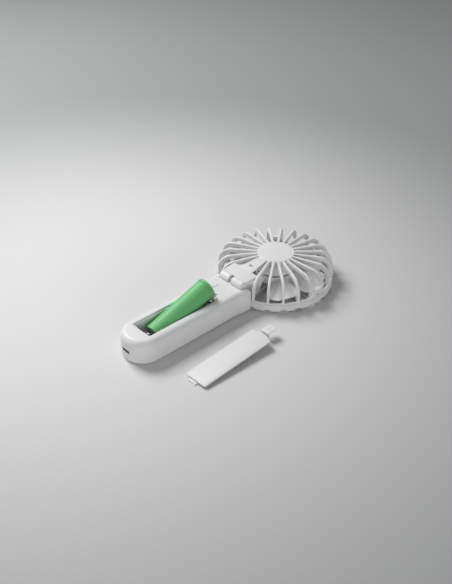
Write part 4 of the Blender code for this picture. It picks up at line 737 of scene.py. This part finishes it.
def makePort():
    mouth = handle["tip"] + port["recess"]
    back = mouth + port["depth"]
    lip, wall = port["lip"], port["shell"]
    rings = [(mouth, -wall), (mouth, -lip), (mouth + lip, 0), (back, 0), (back, -wall)]
    shell = loft([[(x, y, z) for x, z in portOutline(margin)] for y, margin in rings], hoop=True)
    finished("portShell", shell, nickel, "handle", ["port_shell"])

    half, thin, up = port["tongueHalf"], port["tongue"], port["up"]
    base = turnedBy(column(portOutline(-wall - 0.3), back - port["base"], back), alongY)
    tongue = slab(roundedBox(-half, mouth + 0.6, half, back - 1.2, 0.5), up - thin, up + thin, 0.12)
    mesh = carved(base, [], [tongue])
    finished("portTongue", mesh, greyPlastic, "handle", ["port_tongue"])
    pads = bmesh.new()
    for i in range(port["pads"]):
        left = port["padFrom"] + i * port["padPitch"]
        pad = cuboid((left, mouth + 0.9, up + thin - 0.01),
                     (left + port["padWidth"], back - 2.0, up + thin + port["padRise"]))
        pads.from_mesh(toMesh(pad, "pad"))
    finished("portPads", pads, bronze, "handle", ())


# Battery contacts and cell

spring = {"Turns": 4.0, "Wide": 5.0, "Narrow": 3.0, "Length": 6.5, "Wire": 0.7}
contactPlate = {
    "thickness": 0.5, "corner": 1.2, "edge": 0.1,
    "dimple": [(0, 0), (2.4, 0), (1.5, 1.15), (0, 1.3)],  # of the one at the cell's cap
}
cell = {
    "radius": 9.25, "length": 65.0, "capHeight": 1.1, "capRadius": 4.5, "capEdge": 0.5,
    "capDimple": 0.15,
    "lip": 2.2,  # of the sleeve over each end
    "edge": 0.8,
    "sleeve": 0.25,  # its thickness
    "swell": 0.05,  # where the sleeve has drawn in less, near its ends
    "grooveFromEnd": 3.0, "grooveDepth": 0.6, "groove": 1.4,
    "gap": 0.3,  # between sleeve, can, washer and cap
    "washer": 0.5,
}


def makeContacts():
    low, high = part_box("contact_spring")
    blank = helper("springSeed", bmesh.new())
    runTree(blank, conicalSpring, {**spring, "Material": springWire})
    bm = bmesh.new()
    bm.from_mesh(evaluated(blank))
    middle = (low + high) / 2 / mm
    start = low.y / mm + spring["Wire"] / 2
    turnedBy(bm, Matrix.Translation((0, start, middle.z)) @ alongY)
    bmesh.ops.remove_doubles(bm, verts=bm.verts, dist=1e-4)
    finished("contactSpring", bm, springWire, "handle", ["contact_spring"])

    for name, node in (("negativePlate", "negative_plate"), ("positivePlate", "positive_plate")):
        low, high = [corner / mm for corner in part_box(node)]
        near = high.y - contactPlate["thickness"]
        outline = roundedBox(low.x, low.z, high.x, high.z, contactPlate["corner"])
        sheet = turnedBy(slab(outline, near, high.y, contactPlate["edge"]), alongY)
        joined = []
        if name == "positivePlate":
            place = Matrix.Translation((0, near + contactPlate["thickness"] / 2, (low.z + high.z) / 2))
            turn = Matrix.Rotation(radians(90), 4, "X")
            joined = [turnedBy(spun(contactPlate["dimple"], 48), place @ turn)]
        finished(name, carved(sheet, [], joined), nickel, "handle", [node])


def cellPlace():
    sleeveMiddle = middleOf("cell_sleeve")
    axis = (middleOf("cell_cap") - sleeveMiddle).normalized()
    low = sleeveMiddle / mm - axis * (cell["length"] - cell["capHeight"]) / 2
    lean = atan2(axis.z, axis.y)
    return Matrix.Translation(low) @ Matrix.Rotation(lean - radians(90), 4, "X")


def makeCell():
    radius, length, edge = cell["radius"], cell["length"] - cell["capHeight"], cell["edge"]
    lip, wall, gap, swell = radius - cell["lip"], cell["sleeve"], cell["gap"], cell["swell"]
    groove, half, depth = length - cell["grooveFromEnd"], cell["groove"] / 2, cell["grooveDepth"]
    outer = [(lip, 0.0), (radius - edge - 0.6, 0.0)] + arc((radius - edge, edge), edge, -90, 0, 8)
    outer += [(radius, 3.0), (radius - swell, 8.0), (radius - swell, groove - 8), (radius - 0.02, groove - 2)]
    outer += [(radius, groove - half - 0.3)]
    outer += [(radius - depth * (1 - cos(radians(a))) / 2, groove - half + 2 * half * a / 360)
              for a in range(0, 361, 30)]
    outer += [(radius, groove + half + 0.3)] + arc((radius - edge, length - edge), edge, 0, 90, 8)
    outer += [(radius - edge - 0.6, length), (lip, length)]
    inner = [(max(r - wall, lip), min(max(z, wall), length - wall)) for r, z in reversed(outer)]
    place = cellPlace()
    sleeve = turnedBy(spun(outer + inner, 128), place)
    finished("cellSleeve", sleeve, greenSleeve, "cell", ["cell_sleeve"])

    inside, low = radius - wall - gap, wall + gap
    canTop = length - wall - gap - cell["washer"] - gap
    can = [(0, low)] + arc((inside - edge, low + edge), edge, -90, 0, 6) + [(inside, groove - half)]
    can += [(inside - depth, groove), (inside, groove + half), (inside, canTop), (0, canTop)]
    finished("cellCan", turnedBy(spun(can), place), nickel, "cell", ["cell_can"])

    near, far, capRadius = canTop + gap, canTop + gap + cell["washer"], cell["capRadius"]
    ring = [(capRadius + gap, near), (inside - gap, near), (inside - gap, far), (capRadius + gap, far)]
    finished("cellWasher", turnedBy(spun(ring), place), washerPaper, "cell", ["cell_washer"])

    end, edge, dimple = cell["length"], cell["capEdge"], cell["capDimple"]
    cap = [(0, near), (capRadius, near)] + arc((capRadius - edge, end - edge), edge, 0, 90, 6)
    cap += [(2.6, end), (2.2, end - dimple), (0, end - dimple)]
    finished("cellCap", turnedBy(spun(cap), place), nickel, "cell", ["cell_cap"])


# Battery door

door = {
    "width": 22.1, "length": 75.6, "thickness": 1.4, "corner": 2.3, "edge": 0.3,
    "tongueWidth": 9.0, "tongueOffset": -2.2, "tongueReach": 2.6,
    "tongueRoot": (1.6, 3.6),
    "tongueDrop": 0.3,  # from the plate's underside
    "tongue": 1.2,  # its thickness
    "place": (59.1, -150.6),
    "yaw": 0.9,
}


def latchBend():
    near = door["length"] - latch["inset"] - latch["strip"]
    far = door["length"] + latch["bend"]
    radius = (far - near) / 2
    return near + radius, radius - latch["depth"], radius


def latchShape():
    middle, low, bend = latchBend()
    strip, top, barb = latch["strip"], latch["tabRise"], latch["barbDepth"]
    near, far = middle - bend, middle + bend
    tabEnd = far - strip + latch["tabLength"]
    inner, outer = 0.6, 0.7  # rounding where the tab turns off the strip
    outline = [(near, latch["root"])] + arc((middle, low), bend, 180, 360, 32)
    outline += [(far, -barb - 1.0), (far + latch["barb"], -barb), (far, -barb)]
    outline += arc((far + inner, top - strip - inner), inner, 180, 90, 4)
    outline += [(tabEnd, top - strip), (tabEnd, top)]
    outline += arc((far - strip + outer, top - outer), outer, 90, 180, 5)
    outline += arc((middle, low), bend - strip, 0, -180, 32) + [(near + strip, latch["root"])]
    left, right = latchSide()
    strap = helper("latch", turnedBy(slab(outline, left - 0.5, right + 0.5, 0.05), alongX))
    trim = roundedBox(left, door["length"] / 2, right, tabEnd - 0.03, latch["tabCorner"])
    trim = helper("trim", column(trim, -9, 3))
    combine(strap, "INTERSECT", trim)
    soften(strap, latch["edge"])
    mesh = evaluated(strap)
    bpy.data.objects.remove(trim)
    return placed("strap", mesh), tabEnd


def doorPlace():
    tongueLow = -door["thickness"] - door["tongueDrop"] - door["tongue"]
    middle, low, bend = latchBend()
    run, drop = middle + door["tongueReach"], tongueLow - low
    tilt = asin(bend / hypot(run, drop)) + atan2(drop, run)
    up = door["tongueReach"] * sin(tilt) - tongueLow * cos(tilt)
    turn = Matrix.Rotation(radians(door["yaw"]), 4, "Z") @ Matrix.Rotation(tilt, 4, "X")
    return Matrix.Translation((*door["place"], up)) @ turn


def makeDoor():
    outline = bowedBox(door["width"] / 2, 0, door["length"], door["corner"])
    cover = slab(outline, -door["thickness"], 0, door["edge"])
    top = -door["thickness"] - door["tongueDrop"]
    low, reach = top - door["tongue"], -door["tongueReach"]
    rootNear, rootFar = door["tongueRoot"]
    side = [(reach, low), (rootFar, low), (rootFar, -0.8), (rootNear, -0.8), (rootNear, top), (reach, top)]
    left, right = [door["tongueOffset"] + share * door["tongueWidth"] / 2 for share in (-1, 1)]
    tongue = turnedBy(slab(side, left, right, 0.15), alongX)
    strap, tabEnd = latchShape()
    middle = tabEnd - latch["tabLength"] / 2
    dimples = [turnedBy(spun(latch["dimple"], 32), Matrix.Translation((latch["offset"], y, latch["tabRise"])))
               for y in (middle - latch["dimpleStep"], middle + latch["dimpleStep"])]
    mesh = carved(cover, dimples, [tongue, strap])
    mesh.transform(doorPlace())
    finished("batteryDoor", mesh, whiteDoor, "door", ["battery_door"])


# Head

head = {
    "radius": 54.0, "discTop": 31.0, "discRadius": 17.35, "discEdge": 0.7,
    "discThickness": 2.2, "podRadius": 18.0, "podLow": 18.5,
    "skirt": 15.5,  # lowest edge of the pod, outside the motor plate
    "seam": 0.05,  # between the two
    "wall": 1.8, "ringWall": 2.2, "ringTop": 8.3, "ringRound": 1.8, "rimLow": 8.6,
    "rimTop": 10.1, "rimEdge": 0.5,
    "dish": 1.0,  # how far the ring's front stands back from the cap
    "guardTop": 2.6,
}
ribBar = {"Width": 2.3, "Depth": 4.2, "Edge": 0.55, "Inner Share": 0.74}  # share of the width, at the disc
ribs = {
    "count": 24, "shoulder": 13.2,
    "shoulderUp": 16.6,  # of the middle of its curve
    "missing": 2,  # where the strap is
    "dropInner": 0.4, "setBack": 0.2,
}
catches = {
    "angles": (0, 45, 135, 180),
    "height": 5.8, "thickness": 4.0, "edge": 0.35, "slotWidth": 3.0, "slotHeight": 1.2,
    "slotUp": 0.4, "hookDrop": 3.4, "hookHalf": 3.5, "hookWall": 1.2, "hookBarb": 0.8,
}


def cagePiece(name, shape, nodes=()):
    finished(name, shape, whiteCage, "head", nodes)


def ribLine():  # the outer face, as (radius, height)
    radius, outer = ribs["shoulder"], head["radius"] - ribs["setBack"]
    start = (head["discRadius"] - 1.2, head["discTop"] - ribs["dropInner"])
    centre = (outer - radius, ribs["shoulderUp"])
    across, up = centre[0] - start[0], centre[1] - start[1]
    slope = atan2(up, across) + asin(radius / hypot(across, up))
    return [start] + arc(centre, radius, degrees(slope) + 90, 0, 24) + [(outer, head["rimLow"] + 0.4)]


def makeRibs():
    bm = bmesh.new()
    points = [bm.verts.new((radius, 0, up)) for radius, up in ribLine()]
    for pair in zip(points, points[1:]):
        bm.edges.new(pair)
    path = helper("ribPath", bm)
    runTree(path, sweptBar, {**ribBar, "Material": whiteCage})
    first = -90 + (180 + 180 * ribs["missing"]) / ribs["count"]
    runTree(path, copiesRound, {"Count": ribs["count"] - ribs["missing"], "Places": ribs["count"],
                                "First Angle": radians(first), "Material": whiteCage})
    bm = bmesh.new()
    bm.from_mesh(evaluated(path))
    cagePiece("cageRibs", bm, ["rear_cage"])


def makePod():
    top, radius, low, edge = head["discTop"], head["discRadius"], head["podLow"], head["discEdge"]
    pod, wall, under = head["podRadius"], head["wall"], top - head["discThickness"]
    skirt, seam = head["skirt"], pod + head["seam"]
    profile = [(0, top)] + arc((radius - edge, top - edge), edge, 90, 0, 6)
    profile += [(seam + 0.4, skirt + 0.2), (seam + 0.2, skirt), (seam, skirt), (seam, low), (pod - wall, low)]
    profile += [(radius - wall, under), (0, under)]
    cagePiece("cageDisc", spun(profile, 128))

    inside, outside, edge = head["radius"] - head["ringWall"], head["radius"], head["rimEdge"]
    low, top = head["rimLow"], head["rimTop"]
    rim = [(inside, low), (outside - 0.15, low), (outside, low + 0.15)]
    rim += arc((outside - edge, top - edge), edge, 0, 90, 5) + [(inside + 0.3, top), (inside, top - 0.3)]
    cagePiece("cageRim", spun(rim, 160))


discStrap = {
    "near": (4.4, 0.8),  # half its width, and how far it overlaps the disc
    "far": (7.5, 1.2),  # and the leaf
    "thickness": 1.6,
    "window": ((-2.3, -32.8, -5), (1.7, -30.5, 5)),
}


def makeHingeHalf():
    y, up, radius, half = hinge["y"], hinge["up"], hinge["barrel"], hinge["halfLength"]
    barrel = bar(radius, (-half, y, up), (half, y, up), hinge["edge"], 96)
    top, end = up + radius - 0.05, y + hinge["leafLength"]
    right = [(half - 1.4, y), (half, y + 1.4), (14.3, y + 2.9), (hinge["leafCorner"], end)]
    leaf = slab(right + [(-x, b) for x, b in reversed(right)], top - hinge["leafThickness"], top, 0.3)
    for vert in leaf.verts:
        vert.co.z += (vert.co.y - y - hinge["slopeFrom"]) * hinge["leafSlope"]
    reach, step = hinge["lug"] + hinge["gap"], 1.6
    turn = degrees(acos(step / reach))
    under, over, back = up - radius - 1, up + radius + 1, y - radius - 1
    notch = [(back, under), (y + step, under)] + arc((y, up), reach, -turn, turn, 24)
    notch += [(y + step, over), (back, over)]
    low, high = [hinge["notchOffset"] + share * hinge["notch"] / 2 for share in (-1, 1)]
    cut = turnedBy(column(notch, low, high), alongX)
    bore = bar(hinge["pin"] + hinge["pinRoom"], (-half - 1, y, up), (half - hinge["boreStop"], y, up))
    hingeHalf = placed("hingeHalf", carved(barrel, [cut, bore], [leaf]))
    soften(hingeHalf, hinge["soften"])
    cagePiece("hingeHalf", evaluated(hingeHalf))

    (nearHalf, nearLap), (farHalf, farLap) = discStrap["near"], discStrap["far"]
    near, far = nearLap - head["discRadius"], end - farLap
    leafTop = top + (hinge["leafLength"] - hinge["slopeFrom"]) * hinge["leafSlope"]
    trapezoid = [(-farHalf, far), (farHalf, far), (nearHalf, near), (-nearHalf, near)]
    mesh = carved(slab(trapezoid, -discStrap["thickness"], 0, 0.25), [cuboid(*discStrap["window"])])
    slope = (head["discTop"] - 0.3 - leafTop) / (near - far)
    mesh.transform(Matrix(((1, 0, 0, 0), (0, 1, 0, 0), (0, slope, 1, leafTop - slope * far), (0, 0, 0, 1))))
    cagePiece("cageStrap", mesh)


def makeCatches():
    outer = head["radius"] - ribs["setBack"] - 0.3
    half = outer * sin(pi / ribs["count"])
    low, high = head["rimLow"] + 0.4, head["rimTop"] + catches["height"]
    web = turnedBy(slab(roundedBox(-half, low, half, high, 0.5), 0, catches["thickness"], catches["edge"]),
                   Matrix(((0, 0, -1, outer), (1, 0, 0, 0), (0, 1, 0, 0), (0, 0, 0, 1))))
    slotHalf, slotLow = catches["slotWidth"] / 2, head["rimTop"] + catches["slotUp"]
    slot = cuboid((outer - 4, -slotHalf, slotLow), (outer + 1, slotHalf, slotLow + catches["slotHeight"]))
    face, tip = head["radius"] - head["ringWall"] - 0.4, head["rimLow"] - catches["hookDrop"]
    back, barb, width = face - catches["hookWall"], face + catches["hookBarb"], catches["hookHalf"]
    hook = [(face + 1.0, 9.4), (face + 1.0, 8.9), (face, 8.9), (face, tip + 1.0), (barb, tip + 1.0),
            (barb, tip + 0.5), (face, tip), (back, tip), (back, 9.4)]
    merged = bmesh.new()
    merged.from_mesh(carved(web, [slot]))
    merged.from_mesh(toMesh(turnedBy(slab(hook, -width, width, 0.1), alongY), "hook"))
    copies = bmesh.new()
    for angle in catches["angles"]:
        mesh = bpy.data.meshes.new("catch")
        merged.to_mesh(mesh)
        mesh.transform(Matrix.Rotation(radians(angle), 4, "Z"))
        copies.from_mesh(mesh)
    merged.free()
    cagePiece("cageCatches", copies)


guard = {
    "bar": 2.3, "hub": 18.8,
    "reach": 0.6,  # how far its slots reach past the ring
    "rise": 3.4,  # and up it
    "capRadius": 16.0, "capThickness": 1.0, "capEdge": 0.3, "capRoom": 0.3,
}


def slotOutline(margin):
    halfAngle = pi / ribs["count"]
    halfBar = guard["bar"] / 2 - margin
    centre = (head["radius"] + guard["reach"] + margin + halfBar) / (1 + sin(halfAngle))
    radius = centre * sin(halfAngle) - halfBar
    inner = guard["hub"] - margin
    innerHalf = inner * tan(halfAngle) - halfBar / cos(halfAngle)
    tangent = 90 + degrees(halfAngle)
    return [(inner, innerHalf), (inner, -innerHalf)] + arc((centre, 0), radius, -tangent, tangent, 20)


def makeGuard():
    radius, inside = head["radius"], head["radius"] - head["ringWall"]
    top, back = head["ringTop"], head["guardTop"]
    seat = guard["capRadius"] + guard["capRoom"]
    corner = (radius - head["ringRound"], head["dish"] + head["ringRound"])
    profile = [(0, 1.3), (seat, 1.3), (seat, 0.3), (seat + 0.2, 0.1)]
    profile += arc(corner, head["ringRound"], -90, 0, 12)
    profile += [(radius, top - 0.2), (radius - 0.2, top), (inside + 0.2, top), (inside, top - 0.2)]
    profile += [(inside, back + 1.2), (inside - 1.2, back), (0, back)]
    levels = ((-1, 1.2), (0.2, 0.3), (0.9, 0.0), (guard["rise"], 0.0))
    slot = loft([[(x, y, z) for x, y in slotOutline(margin)] for z, margin in levels])
    slots = roundCopies(slot, ribs["count"], 180 / ribs["count"], whiteCage)
    mesh = carved(spun(profile, 192), [slots])
    finished("frontGuard", mesh, whiteCage, "head", ["front_guard"])

    radius, high, edge = guard["capRadius"], guard["capThickness"], guard["capEdge"]
    cap = [(0, 0)] + arc((radius - edge, edge), edge, -90, 0, 4) + [(radius, high), (0, high)]
    finished("frontCap", spun(cap, 128), whiteSmooth, "head", ["front_cap"])


# Impeller

impeller = {
    "blades": 7,
    "first": 12,  # angle of the first blade
    "low": 5.0, "height": 10.0, "hubTop": 14.1, "hubRadius": 18.3, "hubWall": 1.4,
    "boss": 3.0, "bore": 1.3, "radius": 47.2, "thickness": 1.3, "angle": 40.0,
    "sweep": 9.0, "rootHeight": 8.6, "tipHeight": 6.6, "camber": 1.2,
    "narrowFrom": 0.7,  # share of its length from where a blade narrows
}


def chordShare(share):
    start = impeller["narrowFrom"]
    if share < start:
        return 1.0
    return sqrt(max(1 - ((share - start) / (1 - start)) ** 2 * 0.68, 0.02))


def bladeRow(share, side, count):
    root = impeller["hubRadius"] - 0.6
    radius = root + (impeller["radius"] - root) * share
    rise = impeller["rootHeight"] + (impeller["tipHeight"] - impeller["rootHeight"]) * share
    middle = impeller["low"] + impeller["height"] / 2
    row = []
    for i in range(count):
        chord = sin(radians(-90 + 180 * i / (count - 1))) * chordShare(share)
        angle = radians(impeller["angle"] / 2 * chord + impeller["sweep"] * share ** 2)
        edge = 1 - abs(2 * i / (count - 1) - 1) ** 6
        thin = impeller["thickness"] * (1 - 0.35 * chord ** 2) * (0.25 + 0.75 * edge)
        thin *= 1 - 0.6 * share ** 12
        z = middle + rise / 2 * chord + impeller["camber"] * (1 - chord ** 2)
        row.append((radius * cos(angle), radius * sin(angle), z + side * thin / 2))
    return row


def makeImpeller():
    rings = []
    for i in range(33):
        share = i / 32
        rings.append(bladeRow(share, 1, 25) + list(reversed(bladeRow(share, -1, 25))))
    blades = roundCopies(loft(rings), impeller["blades"], impeller["first"], paleBlades)
    low, top, radius, wall = impeller["low"], impeller["hubTop"], impeller["hubRadius"], impeller["hubWall"]
    inside, floor, boss, bore = radius - wall, low + wall, impeller["boss"], impeller["bore"]
    profile = [(0, low)] + arc((radius - 1.5, low + 1.5), 1.5, -90, 0, 8) + [(radius, top - 0.3)]
    profile += [(radius - 0.3, top), (inside, top - wall), (inside, floor), (boss, floor), (boss, top - 0.5)]
    profile += [(bore, top - 0.5), (bore, floor), (0, floor)]
    both = spun(profile, 128)
    both.from_mesh(blades.data)
    bpy.data.objects.remove(blades)
    finished("impellerWheel", both, paleBlades, "rotor", ["impeller"], sharp=38)


# CAD pieces that keep their shape and get a finish


def dressNodes():
    screws = [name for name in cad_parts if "_screw_" in name]
    finishes = (
        (nickel, screws + ["hinge_pin", "motor_shaft"]),
        (boardGreen, ["control_board", "charge_board"]),
        (blackPlastic, ["power_switch", "motor_cap"]),
        # motor plate painted near black as painted shade for the gap under the pod
        (darkPlate, ["motor_plate"]),
        (drawnSteel, ["motor_can"]),
        (bronze, ["motor_bushing"]),
    )
    for material, names in finishes:
        for name in names:
            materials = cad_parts[name].data.materials
            materials.clear()
            materials.append(material)


for make in (makeHandle, makePanel, makePort, makeContacts, makeCell, makeDoor, makeRibs, makePod,
             makeHingeHalf, makeCatches, makeGuard, makeImpeller):
    make()
    print(make.__name__.replace("make", "").lower(), "made")
dressNodes()
print("other pieces given their finishes")


# Stage

stage = {
    "floor": (0.688, 0.688, 0.688),
    # the far floor tone is painted shade: away from the painted pool of light the floor is painted darker
    "paintedShadeFloor": (0.312, 0.318, 0.320),
    "paintedLightPool": (-0.058, -0.10, 0.0),  # the middle of the painted pool of light on the floor, in metres
    "paintedPoolFrom": 0.08, "paintedPoolTo": 0.50, "size": 4.0,
    "fleck": 1.5, "cloud": 300.0,  # mm across
    "roughness": 0.62, "world": 0.235,
}
lamps = {  # place, aim, size and power
    "key": ((-0.85, -0.15, 0.95), (-0.08, -0.10, 0.0), (0.55, 0.55), 14.8),
    "fill": ((-0.05, -1.20, 0.48), (0, -0.08, 0), (1.0, 0.8), 1.3),
    "side": ((2.4, -1.0, 0.50), (0, -0.08, 0), (1.4, 0.8), 17.5),
}


def makeStage():
    bm = bmesh.new()
    bmesh.ops.create_grid(bm, x_segments=1, y_segments=1, size=stage["size"])
    floor = helper("floor", bm)
    finish = Finish("floorPaper")
    fleck = finish.noise(stage["fleck"], detail=3.0)
    cloud = finish.noise(stage["cloud"])
    away = finish.node("ShaderNodeVectorMath", {"operation": "DISTANCE"}, {0: finish.place, 1: stage["paintedLightPool"]},
                       output="Value")
    paintedLightPool = finish.node("ShaderNodeMapRange", {"interpolation_type": "SMOOTHSTEP"},
                       {"Value": away, "From Min": stage["paintedPoolFrom"], "From Max": stage["paintedPoolTo"]})
    # painted light: the floor is painted pale round the pool's middle and painted darker away from it; cloud
    # and fleck are the floor's own tone
    paperToneAndPaintedLight = finish.mix(paintedLightPool * 0.95 + cloud * 0.04 + fleck * 0.01, stage["floor"], stage["paintedShadeFloor"])
    finish.done(Base_Color=paperToneAndPaintedLight, Roughness=stage["roughness"] + (fleck - 0.5) * 0.05)
    floor.data.materials.append(finish.material)


def makeLight():
    world = bpy.data.worlds.new("studio")
    bpy.context.scene.world = world
    world.use_nodes = True
    sky = world.node_tree.nodes["Background"].inputs
    sky["Color"].default_value = (1.0, 1.0, 1.0, 1.0)
    sky["Strength"].default_value = stage["world"]
    for name, (place, aim, size, power) in lamps.items():
        data = bpy.data.lights.new(name, "AREA")
        data.shape = "RECTANGLE"
        data.size, data.size_y = size
        data.energy = power
        lamp = placed(name, data)
        lamp.location = place
        lamp.rotation_mode = "QUATERNION"
        lamp.rotation_quaternion = (Vector(aim) - Vector(place)).to_track_quat("-Z", "Y")
    bpy.context.scene.view_settings.view_transform = "Standard"


camera = {
    "azimuth": 47.05, "elevation": 35.73, "roll": -0.34,
    "target": (-0.00023, -0.06248, 0.015),
    "distance": 0.71413,
    "focal": 800.0,  # pixels of a picture 452 wide and 584 high
    "high": 584, "sensor": 36.0,
}


def makeCamera():
    azimuth, elevation = radians(camera["azimuth"]), radians(camera["elevation"])
    level = cos(elevation)
    back = Vector((sin(azimuth) * level, -cos(azimuth) * level, sin(elevation)))
    data = bpy.data.cameras.new("camera")
    data.sensor_width = camera["sensor"]
    data.lens = camera["focal"] / camera["high"] * camera["sensor"]
    data.clip_start, data.clip_end = 0.01, 50.0
    eye = placed("camera", data)
    eye.location = Vector(camera["target"]) + back * camera["distance"]
    eye.rotation_mode = "QUATERNION"
    roll = Matrix.Rotation(radians(-camera["roll"]), 3, "Z")
    eye.rotation_quaternion = ((-back).to_track_quat("-Z", "Y").to_matrix() @ roll).to_quaternion()
    bpy.context.scene.camera = eye


makeStage()
makeLight()
makeCamera()

print("stage made")
